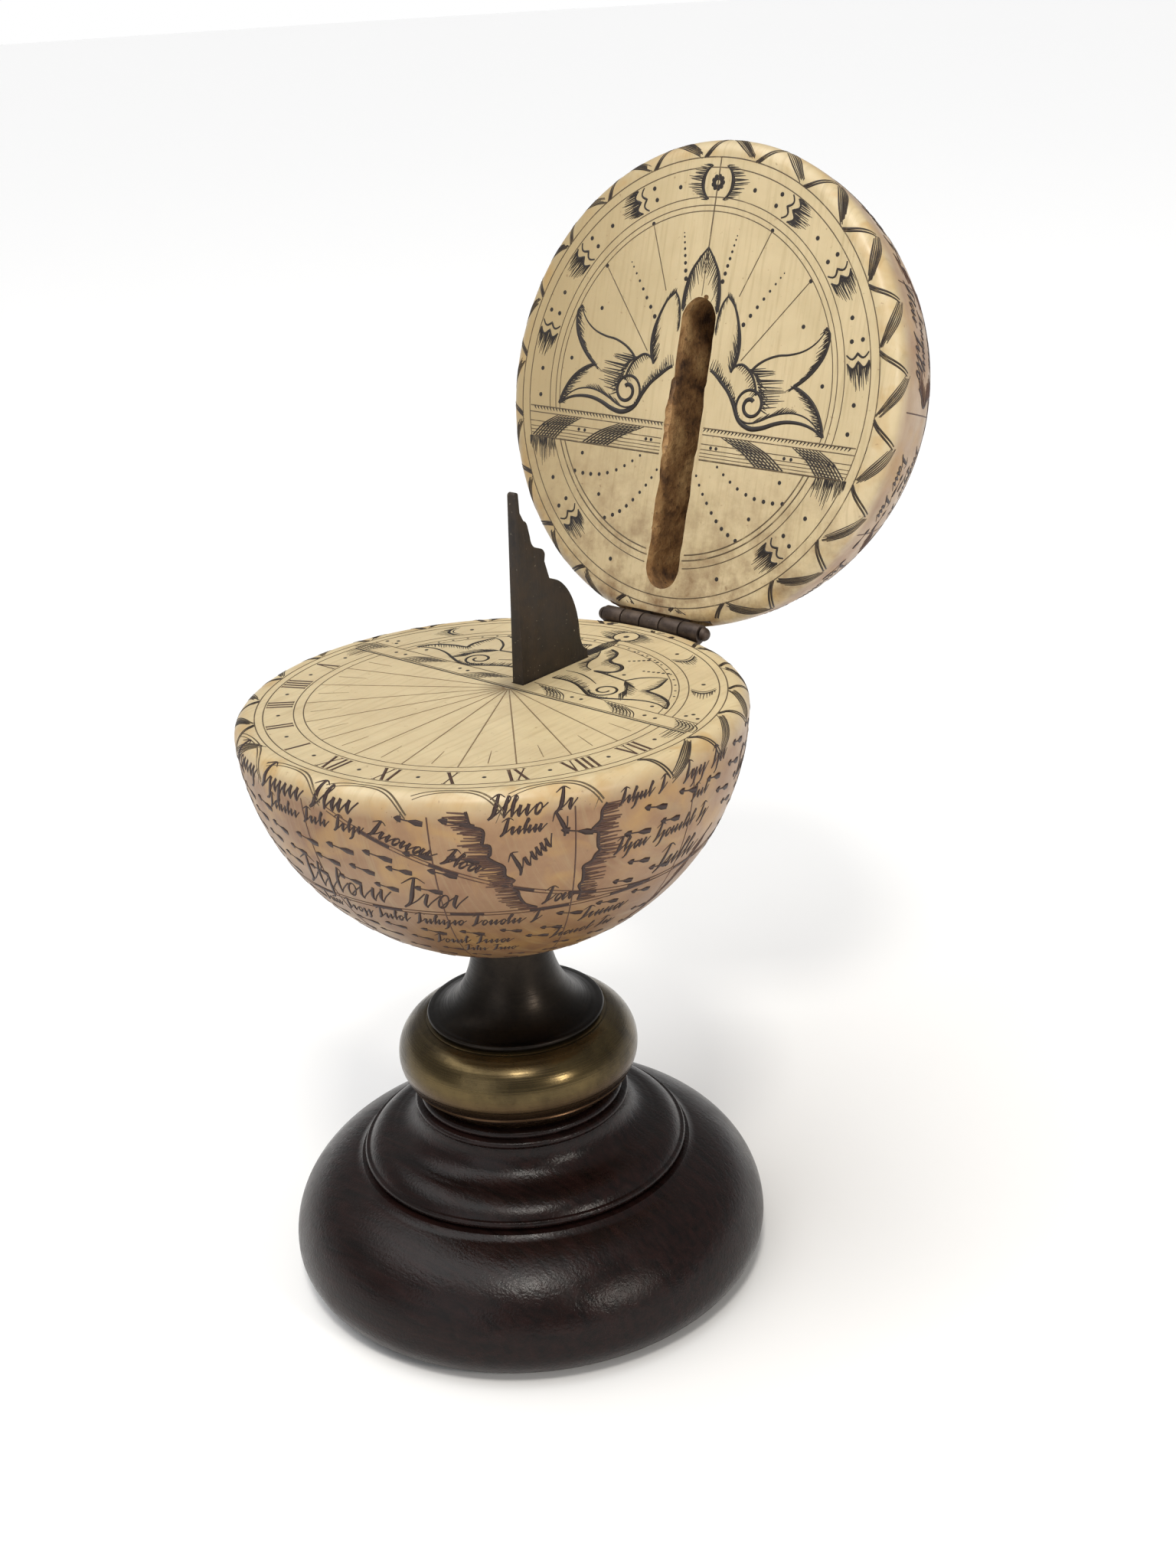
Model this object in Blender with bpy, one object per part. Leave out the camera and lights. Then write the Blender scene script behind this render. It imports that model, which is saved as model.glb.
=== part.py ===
# Pocket globe sundial: a bone globe that opens on a hinge, on a turned brass and wood stand.
# Row frame: origin at the centre of the foot's underside, +Z up, hinge at +Y, noon towards -Y.
# Sizes below are in millimetres; MM turns them into metres.

from math import acos, atan2, cos, degrees, pi, radians, sin, sqrt

import bmesh
import bpy
from mathutils import Matrix, Vector

MM = 0.001
CLEARANCE = 0.3            # between fixed neighbours
FINE_CLEARANCE = 0.15      # where a joint line shows

# Globe
GLOBE_RADIUS = 25.4
FACE_HEIGHT = 64.2         # dial face above the surface the foot stands on
GLOBE_CENTRE = -0.5        # globe's centre, measured from the dial face
RIM_ROUNDING = 1.6
FACE_GAP = 0.3             # between the two faces when the globe is closed
OPEN_ANGLE = 106.8         # lid's stop
ROUND_SEGMENTS = 48

# Lid pocket
POCKET_WIDTH = 4.4
POCKET_FAR_Y = -9.1
POCKET_NEAR_Y = 21.5
POCKET_FLOOR_RADIUS = 22.4

# Hinge
HINGE_Y = 25.25
KNUCKLE_RADIUS = 0.95
KNUCKLE_COUNT = 5
HINGE_LENGTH = 13.2
KNUCKLE_GAP = 0.16
HINGE_BORE_RADIUS = 0.5
HINGE_PIN_RADIUS = 0.35
PIN_HEAD_RADIUS = 0.75
LEAF_THICKNESS = 0.5
LEAF_LENGTH = 3.5            # short, so that it stays clear of the lid's pocket
LEAF_START = 1.5
STRAP_SETBACK = 0.03       # knuckle straps are this much thinner than the leaf, each side
SLOT_STEP = 0.04           # keeps the slot's roof off the notch's lowest line
LEAF_SLOPE = 18.0          # leaf runs down into the bone at this angle
LEAF_PIN_X = 4.2
LEAF_PIN_REACH = 2.55      # along the leaf, from the hinge axis
LEAF_PIN_RADIUS = 0.35
LEAF_PIN_LENGTH = 4.5
LEAF_PIN_SINK = 0.02       # pin ends lie this far below the faces

# Gnomon
GNOMON_THICKNESS = 1.4
GNOMON_TIP_THINNING = 0.35
GNOMON_HEIGHT = 19.3
GNOMON_FRONT_Y = 3.8
GNOMON_BACK_Y = 13.75
GNOMON_DEPTH = 4.0         # let into the dial

# Stand
STUD_RADIUS = 2.0
STUD_BOTTOM = 6.0          # above the foot's underside
FERRULE_RADIUS = 3.5
FERRULE_LENGTH = 7.4
FERRULE_REACH = 7.0        # how far up into the globe it goes
DISH_GAP = 0.25            # between the globe and the cone's dished top
NECK_RADIUS = 3.9
CONE_RADIUS = 9.3
CONE_BOTTOM = 35.1         # these three are depths below the dial face
KNOP_BOTTOM = 43.6
MOULDING_BOTTOM = 51.1
MOULDING_RADIUS = 17.3
PLINTH_RADIUS = 25.5
FOOT_RADIUS = 21.9
STAND_SEGMENTS = 40


def clear_scene():
    for item in list(bpy.data.objects):
        bpy.data.objects.remove(item, do_unlink=True)


def make_material(name, colour, roughness, metallic=0.0):
    material = bpy.data.materials.new(name)
    material.use_nodes = True
    shader = material.node_tree.nodes["Principled BSDF"]
    shader.inputs["Base Color"].default_value = (*colour, 1.0)
    shader.inputs["Roughness"].default_value = roughness
    shader.inputs["Metallic"].default_value = metallic
    return material


def add_empty(name, location, parent=None, tilt=0.0):
    empty = bpy.data.objects.new(name, None)
    empty.location = Vector(location) * MM
    empty.rotation_euler = (radians(tilt), 0.0, 0.0)
    empty.parent = parent
    bpy.context.collection.objects.link(empty)
    return empty


def add_object(name, shape, material=None, parent=None, at=(0, 0, 0)):
    """Turns a bmesh in millimetres into an object whose origin is its parent's."""
    bmesh.ops.translate(shape, vec=Vector(at), verts=shape.verts)
    bmesh.ops.scale(shape, vec=(MM, MM, MM), verts=shape.verts)
    bmesh.ops.recalc_face_normals(shape, faces=shape.faces)
    mesh = bpy.data.meshes.new(name)
    shape.to_mesh(mesh)
    shape.free()
    mesh.shade_smooth()
    mesh.set_sharp_from_angle(angle=radians(35))
    item = bpy.data.objects.new(name, mesh)
    item.parent = parent
    if material:
        mesh.materials.append(material)
    bpy.context.collection.objects.link(item)
    return item


def as_cutter(item):
    item.hide_render = True
    item.display_type = "WIRE"
    return item


def combine(target, operand, operation):
    modifier = target.modifiers.new(operand.name, "BOOLEAN")
    modifier.operation = operation
    modifier.solver = "EXACT"
    modifier.object = operand


def ellipse_points(centre, radii, start, end, count):
    """Points on an ellipse's arc, from one angle to another in degrees."""
    steps = [radians(start + (end - start) * i / (count - 1)) for i in range(count)]
    return [(centre[0] + radii[0] * cos(t), centre[1] + radii[1] * sin(t)) for t in steps]


def arc_points(centre, radius, start, end, count):
    return ellipse_points(centre, (radius, radius), start, end, count)


def turned(profile, segments, axis=(0, 0, 1), closed=True):
    """Spins a profile of (radius, height) points about an axis through the origin."""
    shape = bmesh.new()
    along = Vector(axis)
    outward = Vector((1, 0, 0)) if along.z else Vector((0, 0, 1))
    points = [shape.verts.new(outward * r + along * h) for r, h in profile]
    edges = [shape.edges.new(pair) for pair in zip(points, points[1:])]
    if closed:
        edges.append(shape.edges.new((points[-1], points[0])))
    bmesh.ops.spin(shape, geom=points + edges, cent=(0, 0, 0), axis=along,
                   angle=2 * pi, steps=segments, use_merge=True)
    bmesh.ops.remove_doubles(shape, verts=shape.verts, dist=1e-5)
    return shape


def prism(outline, low_x, high_x):
    """Extrudes an outline of (y, z) points along X."""
    shape = bmesh.new()
    face = shape.faces.new([shape.verts.new((low_x, y, z)) for y, z in outline])
    extruded = bmesh.ops.extrude_face_region(shape, geom=[face])
    moved = [part for part in extruded["geom"] if isinstance(part, bmesh.types.BMVert)]
    bmesh.ops.translate(shape, vec=(high_x - low_x, 0, 0), verts=moved)
    return shape


def column(radius, low_z, high_z, x=0.0, y=0.0, segments=16):
    """Upright cylinder between two heights."""
    shape = bmesh.new()
    place = Matrix.Translation((x, y, (low_z + high_z) / 2))
    bmesh.ops.create_cone(shape, cap_ends=True, segments=segments, radius1=radius,
                          radius2=radius, depth=high_z - low_z, matrix=place)
    return shape


def mirrored(outline):
    return [(y, -z) for y, z in outline]


# ---- half globes ---------------------------------------------------------------------

def half_globe_profile(face_z, side):
    """Face, rounded rim and globe surface; side is -1 for the lower half, +1 for the lid."""
    rise = (face_z + side * RIM_ROUNDING) - GLOBE_CENTRE
    inner = GLOBE_RADIUS - RIM_ROUNDING
    rim_x = sqrt(inner ** 2 - rise ** 2)
    turn = degrees(atan2(rise, rim_x))
    rim = arc_points((rim_x, GLOBE_CENTRE + rise), RIM_ROUNDING, -side * 90, turn, 5)
    ball = arc_points((0, GLOBE_CENTRE), GLOBE_RADIUS, turn, side * 90, 12)
    ball[-1] = (0, GLOBE_CENTRE + side * GLOBE_RADIUS)
    return [(0, face_z)] + rim + ball[1:]


def stadium_prism(width, low_y, high_y, low_z, high_z):
    """Round-ended slot shape, upright between two heights."""
    half = width / 2
    outline = arc_points((0, high_y - half), half, 0, 180, 9)
    outline += arc_points((0, low_y + half), half, 180, 360, 9)
    shape = bmesh.new()
    face = shape.faces.new([shape.verts.new((x, y, low_z)) for x, y in outline])
    extruded = bmesh.ops.extrude_face_region(shape, geom=[face])
    moved = [part for part in extruded["geom"] if isinstance(part, bmesh.types.BMVert)]
    bmesh.ops.translate(shape, vec=(0, 0, high_z - low_z), verts=moved)
    return shape


def leaf_frame(side):
    """Directions of a leaf in its (y, z) section: along it, and across it away from the pin."""
    slope = radians(LEAF_SLOPE)
    along = (-cos(slope), side * sin(slope))
    across = (sin(slope), side * cos(slope))
    return along, across


def leaf_point(side, reach, offset):
    along, across = leaf_frame(side)
    return tuple(along[i] * reach + across[i] * offset for i in range(2))


def leaf_outline(side, start, end, low_offset, high_offset):
    corners = [(start, low_offset), (end, low_offset), (end, high_offset), (start, high_offset)]
    return [leaf_point(side, reach, offset) for reach, offset in corners]


def knuckle_outline(side):
    """Barrel section with the strap that joins it to the leaf, at the hinge axis."""
    inner = KNUCKLE_RADIUS - LEAF_THICKNESS
    opening = degrees(acos(inner / KNUCKLE_RADIUS))
    base = LEAF_SLOPE - 90
    outline = arc_points((0, 0), KNUCKLE_RADIUS, base, base + 360 - opening, 17)
    overlap = LEAF_START + 0.6
    outline += [(-cos(radians(LEAF_SLOPE)) * overlap + sin(radians(LEAF_SLOPE)) * offset,
                 -sin(radians(LEAF_SLOPE)) * overlap - cos(radians(LEAF_SLOPE)) * offset)
                for offset in (inner, KNUCKLE_RADIUS)]
    return outline if side < 0 else mirrored(outline)


def knuckle_spans():
    pitch = HINGE_LENGTH / KNUCKLE_COUNT
    starts = [-HINGE_LENGTH / 2 + i * pitch for i in range(KNUCKLE_COUNT)]
    return [(start + KNUCKLE_GAP / 2, start + pitch - KNUCKLE_GAP / 2) for start in starts]


def leaf_pin_place(side):
    """(y, z) of the leaf pins where they cross the leaf, from the hinge axis."""
    return leaf_point(side, LEAF_PIN_REACH, KNUCKLE_RADIUS - LEAF_THICKNESS / 2)


def build_leaf(name, side, knuckles, material, pivot, at):
    half = HINGE_LENGTH / 2
    inner = KNUCKLE_RADIUS - LEAF_THICKNESS
    plate = prism(leaf_outline(side, LEAF_START, LEAF_LENGTH, inner - STRAP_SETBACK,
                               KNUCKLE_RADIUS + STRAP_SETBACK), -half, half)
    leaf = add_object(name, plate, material, pivot, at)
    for i in knuckles:
        low, high = knuckle_spans()[i]
        barrel = add_object(f"{name}_knuckle_{i + 1}", prism(knuckle_outline(side), low, high),
                            parent=pivot, at=at)
        combine(leaf, as_cutter(barrel), "UNION")
    bore_ends = [(0, -half - 1), (HINGE_BORE_RADIUS, -half - 1),
                 (HINGE_BORE_RADIUS, half + 1), (0, half + 1)]
    bore = add_object(f"{name}_bore", turned(bore_ends, 20, (1, 0, 0), closed=False),
                      parent=pivot, at=at)
    combine(leaf, as_cutter(bore), "DIFFERENCE")
    pin_y, pin_z = leaf_pin_place(side)
    for x in (-LEAF_PIN_X, LEAF_PIN_X):
        hole = add_object(f"{name}_hole", column(LEAF_PIN_RADIUS + FINE_CLEARANCE, pin_z - 2,
                                                 pin_z + 2, x, pin_y), parent=pivot, at=at)
        combine(leaf, as_cutter(hole), "DIFFERENCE")
    return leaf


def cut_hinge_seat(half, side, pivot, at, face_z):
    """Notch for the barrel, sawn slot for the leaf and two pin holes; face_z is from the axis."""
    reach = HINGE_LENGTH / 2 + PIN_HEAD_RADIUS + 2 * CLEARANCE
    radius = KNUCKLE_RADIUS + CLEARANCE
    ends = [(0, -reach), (radius, -reach), (radius, reach), (0, reach)]
    notch = add_object(f"{half.name}_notch", turned(ends, 24, (1, 0, 0), closed=False),
                       parent=pivot, at=at)
    combine(half, as_cutter(notch), "DIFFERENCE")
    low = KNUCKLE_RADIUS - LEAF_THICKNESS - CLEARANCE
    high = KNUCKLE_RADIUS + CLEARANCE - SLOT_STEP
    side_x = HINGE_LENGTH / 2 + CLEARANCE
    outline = leaf_outline(side, 0.2, LEAF_LENGTH + CLEARANCE, low, high)
    slot = add_object(f"{half.name}_leaf_slot", prism(outline, -side_x, side_x),
                      parent=pivot, at=at)
    combine(half, as_cutter(slot), "DIFFERENCE")
    pin_y, _ = leaf_pin_place(side)
    ends = sorted((face_z - side, face_z + side * (LEAF_PIN_LENGTH + CLEARANCE)))
    for x in (-LEAF_PIN_X, LEAF_PIN_X):
        hole = add_object(f"{half.name}_pin_hole",
                          column(LEAF_PIN_RADIUS + FINE_CLEARANCE, *ends, x, pin_y),
                          parent=pivot, at=at)
        combine(half, as_cutter(hole), "DIFFERENCE")


def build_leaf_pins(name, side, material, pivot, at, face_z):
    pin_y, _ = leaf_pin_place(side)
    ends = sorted((face_z + side * LEAF_PIN_SINK, face_z + side * LEAF_PIN_LENGTH))
    for number, x in enumerate((-LEAF_PIN_X, LEAF_PIN_X), start=1):
        add_object(f"{name}_{number}", column(LEAF_PIN_RADIUS, *ends, x, pin_y, 12),
                   material, pivot, at)


# ---- gnomon --------------------------------------------------------------------------

def gnomon_outline():
    """Front edge near upright; the back falls in a cove, a step, a bulge and a small foot."""
    outline = [(GNOMON_BACK_Y, -GNOMON_DEPTH), (GNOMON_BACK_Y, 0.9)]
    outline += ellipse_points((GNOMON_BACK_Y, 3.1), (1.0, 2.2), 270, 180, 5)[1:]
    outline += ellipse_points((8.6, 3.1), (4.15, 6.5), 0, 86, 11)[1:]
    outline += [(8.3, 11.6)]
    outline += arc_points((7.6, 12.2), 0.85, 5, 80, 5)
    outline += ellipse_points((7.6, 14.5), (1.1, 1.35), 255, 180, 5)
    outline += arc_points((5.5, 15.6), 0.75, 10, 70, 4)
    outline += [(5.3, 17.2)]
    outline += arc_points((4.95, GNOMON_HEIGHT - 0.35), 0.33, 20, 170, 6)
    outline += [(GNOMON_FRONT_Y, 0.0), (GNOMON_FRONT_Y, -GNOMON_DEPTH)]
    return outline


def build_gnomon(material, pivot):
    half = GNOMON_THICKNESS / 2
    shape = prism(gnomon_outline(), -half, half)
    for vertex in shape.verts:
        share = max(vertex.co.z, 0.0) / GNOMON_HEIGHT
        vertex.co.x *= 1.0 - GNOMON_TIP_THINNING * share
    return add_object("gnomon", shape, material, pivot)


# ---- stand ---------------------------------------------------------------------------

def below_face(points):
    """Profile given as depths below the dial face, turned into heights above the surface."""
    return [(r, FACE_HEIGHT - depth) for r, depth in points]


def cone_profile():
    """Dished top under the globe, then a concave flare out to a thin lip."""
    dish = GLOBE_RADIUS + DISH_GAP
    bore = STUD_RADIUS + CLEARANCE
    seat = [(r, sqrt(dish ** 2 - r ** 2) - GLOBE_CENTRE) for r in (bore, 3.2, NECK_RADIUS)]
    top = seat[-1][1] + 0.25
    spread = CONE_RADIUS - NECK_RADIUS
    drop = CONE_BOTTOM - 0.5 - top
    flare = [(NECK_RADIUS + 0.15 + (spread - 0.15) * (1 - cos(t)), top + drop * sin(t))
             for t in (radians(90) * i / 7 for i in range(8))]
    flare[-1] = (CONE_RADIUS, CONE_BOTTOM - 0.45)
    return below_face(seat + flare + [(CONE_RADIUS, CONE_BOTTOM), (bore, CONE_BOTTOM)])


def knop_profile():
    """Fat bulb with one fine turned line low on its side."""
    top = CONE_BOTTOM + FINE_CLEARANCE
    bulb = ellipse_points((8.6, -39.3), (4.05, 4.1), 78, -62, 12)
    bulb = [(r, -z) for r, z in bulb]
    line = bulb[-4]
    groove = [(line[0] - 0.02, line[1] - 0.12), (line[0] - 0.16, line[1]),
              (line[0] - 0.06, line[1] + 0.12)]
    outline = [(STUD_RADIUS + CLEARANCE, top), (CONE_RADIUS + 0.1, top)]
    outline += bulb[:-4] + groove + bulb[-3:]
    outline += [(10.0, KNOP_BOTTOM), (STUD_RADIUS + CLEARANCE, KNOP_BOTTOM)]
    return below_face(outline)


def moulding_profile():
    """Two small fillets, a cove and a rolled edge that overhangs the foot."""
    top = KNOP_BOTTOM + FINE_CLEARANCE
    bore = STUD_RADIUS + CLEARANCE
    outline = [(bore, top), (10.3, top)]
    outline += arc_points((10.4, top + 0.4), 0.4, -90, 90, 5)
    outline += arc_points((11.0, top + 1.25), 0.4, -90, 90, 5)
    outline += ellipse_points((14.2, top + 1.7), (3.1, 3.1), 180, 95, 5)
    outline += ellipse_points((14.0, 51.6), (3.2, 3.0), -88, -28, 5)
    outline += arc_points((MOULDING_RADIUS - 0.45, MOULDING_BOTTOM - 0.55), 0.45, -40, 60, 5)
    outline += [(MOULDING_RADIUS - 0.7, MOULDING_BOTTOM), (bore, MOULDING_BOTTOM)]
    return below_face(outline)


def plinth_profile():
    """Flat seat under the moulding, then one fat roll down to the foot's flat underside."""
    top = MOULDING_BOTTOM + FINE_CLEARANCE
    seat_radius = MOULDING_RADIUS + 0.4
    middle = FACE_HEIGHT - 60.2
    upper = ellipse_points((15.6, middle), (PLINTH_RADIUS - 15.6, 8.8), 76, 0, 9)
    lower = ellipse_points((FOOT_RADIUS - 0.6, middle), (PLINTH_RADIUS - FOOT_RADIUS + 0.6, middle),
                           0, -82, 6)[1:]
    blind = STUD_RADIUS + CLEARANCE
    outer = [(0, STUD_BOTTOM - CLEARANCE), (blind, STUD_BOTTOM - CLEARANCE),
             (blind, FACE_HEIGHT - top), (seat_radius, FACE_HEIGHT - top)]
    return outer + upper + lower + [(FOOT_RADIUS - 0.4, 0), (0, 0)]


def stud_profile(top):
    """Plain rod with a chamfered top."""
    return [(0, top), (STUD_RADIUS - 0.4, top), (STUD_RADIUS, top - 0.4),
            (STUD_RADIUS, STUD_BOTTOM), (0, STUD_BOTTOM)]


def build_stand(wood, brass, dark_brass, iron, stud_top):
    base = add_empty("stand_centre", (0, 0, 0))
    add_object("plinth", turned(plinth_profile(), STAND_SEGMENTS, closed=False), wood, base)
    add_object("stand_moulding", turned(moulding_profile(), STAND_SEGMENTS), wood, base)
    add_object("brass_knop", turned(knop_profile(), STAND_SEGMENTS), brass, base)
    add_object("brass_cone", turned(cone_profile(), STAND_SEGMENTS), dark_brass, base)
    add_object("stand_screw", turned(stud_profile(stud_top), 20, closed=False), iron, base)


# ---- assembly ------------------------------------------------------------------------

def build_dial(bone, brass, iron, dial_pivot, ferrule_top):
    hinge_at = (0, HINGE_Y, FACE_GAP / 2)
    dial = add_object("dial_hemisphere", turned(half_globe_profile(0.0, -1), ROUND_SEGMENTS,
                                                closed=False), bone, dial_pivot)
    cut_hinge_seat(dial, -1, dial_pivot, hinge_at, -FACE_GAP / 2)
    socket = column(FERRULE_RADIUS + FINE_CLEARANCE, -GLOBE_RADIUS - 3, ferrule_top + CLEARANCE,
                    segments=24)
    combine(dial, as_cutter(add_object("dial_socket", socket, parent=dial_pivot)), "DIFFERENCE")
    slot_half = GNOMON_THICKNESS / 2 + FINE_CLEARANCE
    back = GNOMON_BACK_Y + FINE_CLEARANCE
    front = GNOMON_FRONT_Y - FINE_CLEARANCE
    slot = prism([(front, 1), (back, 1), (back, -GNOMON_DEPTH - CLEARANCE),
                  (front, -GNOMON_DEPTH - CLEARANCE)], -slot_half, slot_half)
    combine(dial, as_cutter(add_object("dial_gnomon_slot", slot, parent=dial_pivot)), "DIFFERENCE")

    bottom = ferrule_top - FERRULE_LENGTH
    ring = [(STUD_RADIUS + CLEARANCE, ferrule_top), (FERRULE_RADIUS, ferrule_top),
            (FERRULE_RADIUS, bottom), (STUD_RADIUS + CLEARANCE, bottom)]
    add_object("socket_ferrule", turned(ring, 24), brass, dial_pivot)
    build_gnomon(iron, dial_pivot)
    build_leaf("lower_hinge_leaf", -1, (0, 2, 4), iron, dial_pivot, hinge_at)
    build_leaf_pins("lower_leaf_pin", -1, iron, dial_pivot, hinge_at, -FACE_GAP / 2)

    half = HINGE_LENGTH / 2 + FINE_CLEARANCE
    dome = arc_points((0, half), PIN_HEAD_RADIUS, 0, 90, 5)
    dome[-1] = (0, half + PIN_HEAD_RADIUS)
    side = [(HINGE_PIN_RADIUS, half)] + dome
    profile = [(r, -h) for r, h in reversed(side)] + side
    add_object("hinge_pin", turned(profile, 16, (1, 0, 0), closed=False), iron, dial_pivot,
               hinge_at)


def build_lid(bone, iron, lid_pivot):
    at_globe = (0, -HINGE_Y, -FACE_GAP / 2)
    lid = add_object("lid_hemisphere", turned(half_globe_profile(FACE_GAP, 1), ROUND_SEGMENTS,
                                              closed=False), bone, lid_pivot, at_globe)
    cut_hinge_seat(lid, 1, lid_pivot, (0, 0, 0), FACE_GAP / 2)
    pocket = add_object("lid_pocket", stadium_prism(POCKET_WIDTH, POCKET_FAR_Y, POCKET_NEAR_Y,
                                                    -2, GLOBE_RADIUS + 2),
                        parent=lid_pivot, at=at_globe)
    ball = bmesh.new()
    bmesh.ops.create_uvsphere(ball, u_segments=48, v_segments=32, radius=POCKET_FLOOR_RADIUS)
    floor = add_object("lid_pocket_floor", ball, parent=lid_pivot, at=at_globe)
    combine(as_cutter(pocket), as_cutter(floor), "INTERSECT")
    combine(lid, pocket, "DIFFERENCE")
    build_leaf("upper_hinge_leaf", 1, (1, 3), iron, lid_pivot, (0, 0, 0))
    build_leaf_pins("upper_leaf_pin", 1, iron, lid_pivot, (0, 0, 0), FACE_GAP / 2)


def main():
    clear_scene()
    bone = make_material("bone", (0.72, 0.62, 0.40), 0.45)
    lid_bone = make_material("lid_bone", (0.74, 0.64, 0.42), 0.45)
    brass = make_material("aged_brass", (0.21, 0.16, 0.07), 0.38, 0.9)
    dark_brass = make_material("dark_brass", (0.10, 0.08, 0.05), 0.42, 0.9)
    wood = make_material("dark_wood", (0.035, 0.022, 0.020), 0.35)
    iron = make_material("browned_iron", (0.04, 0.032, 0.028), 0.5, 0.7)

    ferrule_top = -GLOBE_RADIUS + FERRULE_REACH
    stud_top = FACE_HEIGHT + ferrule_top - CLEARANCE
    build_stand(wood, brass, dark_brass, iron, stud_top)
    dial_pivot = add_empty("dial_pivot", (0, 0, FACE_HEIGHT))
    build_dial(bone, brass, iron, dial_pivot, ferrule_top)
    lid_pivot = add_empty("lid_pivot", (0, HINGE_Y, FACE_GAP / 2), dial_pivot, -OPEN_ANGLE)
    build_lid(lid_bone, iron, lid_pivot)
    bpy.context.view_layer.update()


main()
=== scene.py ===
from math import acos, atan2, cos, degrees, hypot, pi, radians, sin, sqrt
from random import Random

import bmesh
import bpy
import numpy as np
from mathutils import Matrix, Vector, noise


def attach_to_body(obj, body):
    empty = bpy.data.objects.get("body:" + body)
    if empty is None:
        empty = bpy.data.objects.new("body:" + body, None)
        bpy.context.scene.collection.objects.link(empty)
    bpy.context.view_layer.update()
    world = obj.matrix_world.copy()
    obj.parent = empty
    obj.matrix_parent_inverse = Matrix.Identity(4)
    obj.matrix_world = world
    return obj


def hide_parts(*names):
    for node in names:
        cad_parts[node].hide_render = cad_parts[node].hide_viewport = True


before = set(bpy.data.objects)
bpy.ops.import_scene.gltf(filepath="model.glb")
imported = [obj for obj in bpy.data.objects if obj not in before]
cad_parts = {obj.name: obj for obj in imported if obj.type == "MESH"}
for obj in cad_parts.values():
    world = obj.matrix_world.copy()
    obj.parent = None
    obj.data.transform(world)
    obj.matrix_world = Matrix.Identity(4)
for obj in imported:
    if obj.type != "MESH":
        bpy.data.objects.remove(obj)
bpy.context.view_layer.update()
print("frame loaded:", len(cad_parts), "nodes")

noise.seed_set(5)     # left alone, the noise starts from the clock
mm = 0.001            # every size below is in millimetres
faceHeight = 64.2     # dial face above the surface it stands on

globe = {
    "radius": 25.4,
    "centre": -0.5,       # below the dial face
    "inkDepth": 0.04,     # bone is this much under size, so that the ink lies inside the CAD box
    "rimRounding": 1.6,
    "faceGap": 0.3,
    "openAngle": 106.8,
    "segments": 192,
}
hinge = {
    "y": 25.25,
    "radius": 0.95,
    "count": 5,
    "length": 13.2,
    "gap": 0.16,
    "bore": 0.5,
    "pinRadius": 0.35,
    "headRadius": 0.75,
    "leafThickness": 0.5,
    "leafLength": 3.5,
    "leafStart": 1.5,
    "slope": 18.0,
}
hingeAt = Vector((0, hinge["y"], faceHeight + globe["faceGap"] / 2))
openLid = (Matrix.Translation(hingeAt) @ Matrix.Rotation(radians(-globe["openAngle"]), 4, "X")
           @ Matrix.Translation(-hingeAt))


def linear(hexColour):
    channels = [int(hexColour[i:i + 2], 16) / 255 for i in (0, 2, 4)]
    return tuple(c / 12.92 if c <= 0.04045 else ((c + 0.055) / 1.055) ** 2.4 for c in channels) + (1.0,)


def addNode(tree, kind, settings=None, inputs=None, stops=None):
    node = tree.nodes.new(kind)
    for name, value in (settings or {}).items():
        setattr(node, name, value)
    for name, value in (inputs or {}).items():
        if isinstance(value, bpy.types.NodeSocket):
            tree.links.new(value, node.inputs[name])
        else:
            node.inputs[name].default_value = value
    if stops:
        ramp = node.color_ramp
        ramp.elements[0].position, ramp.elements[0].color = stops[0]
        ramp.elements[1].position, ramp.elements[1].color = stops[-1]
        for position, colour in stops[1:-1]:
            ramp.elements.new(position).color = colour
    return node


def newMaterial(name):
    material = bpy.data.materials.new(name)
    material.use_nodes = True
    tree = material.node_tree
    return material, tree, tree.nodes["Principled BSDF"]


rgb = {"data_type": "RGBA"}   # a Mix node's inputs: 0 share, 6 first colour, 7 second colour; its output is 2
times, plus = {"operation": "MULTIPLY"}, {"operation": "ADD"}


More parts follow.
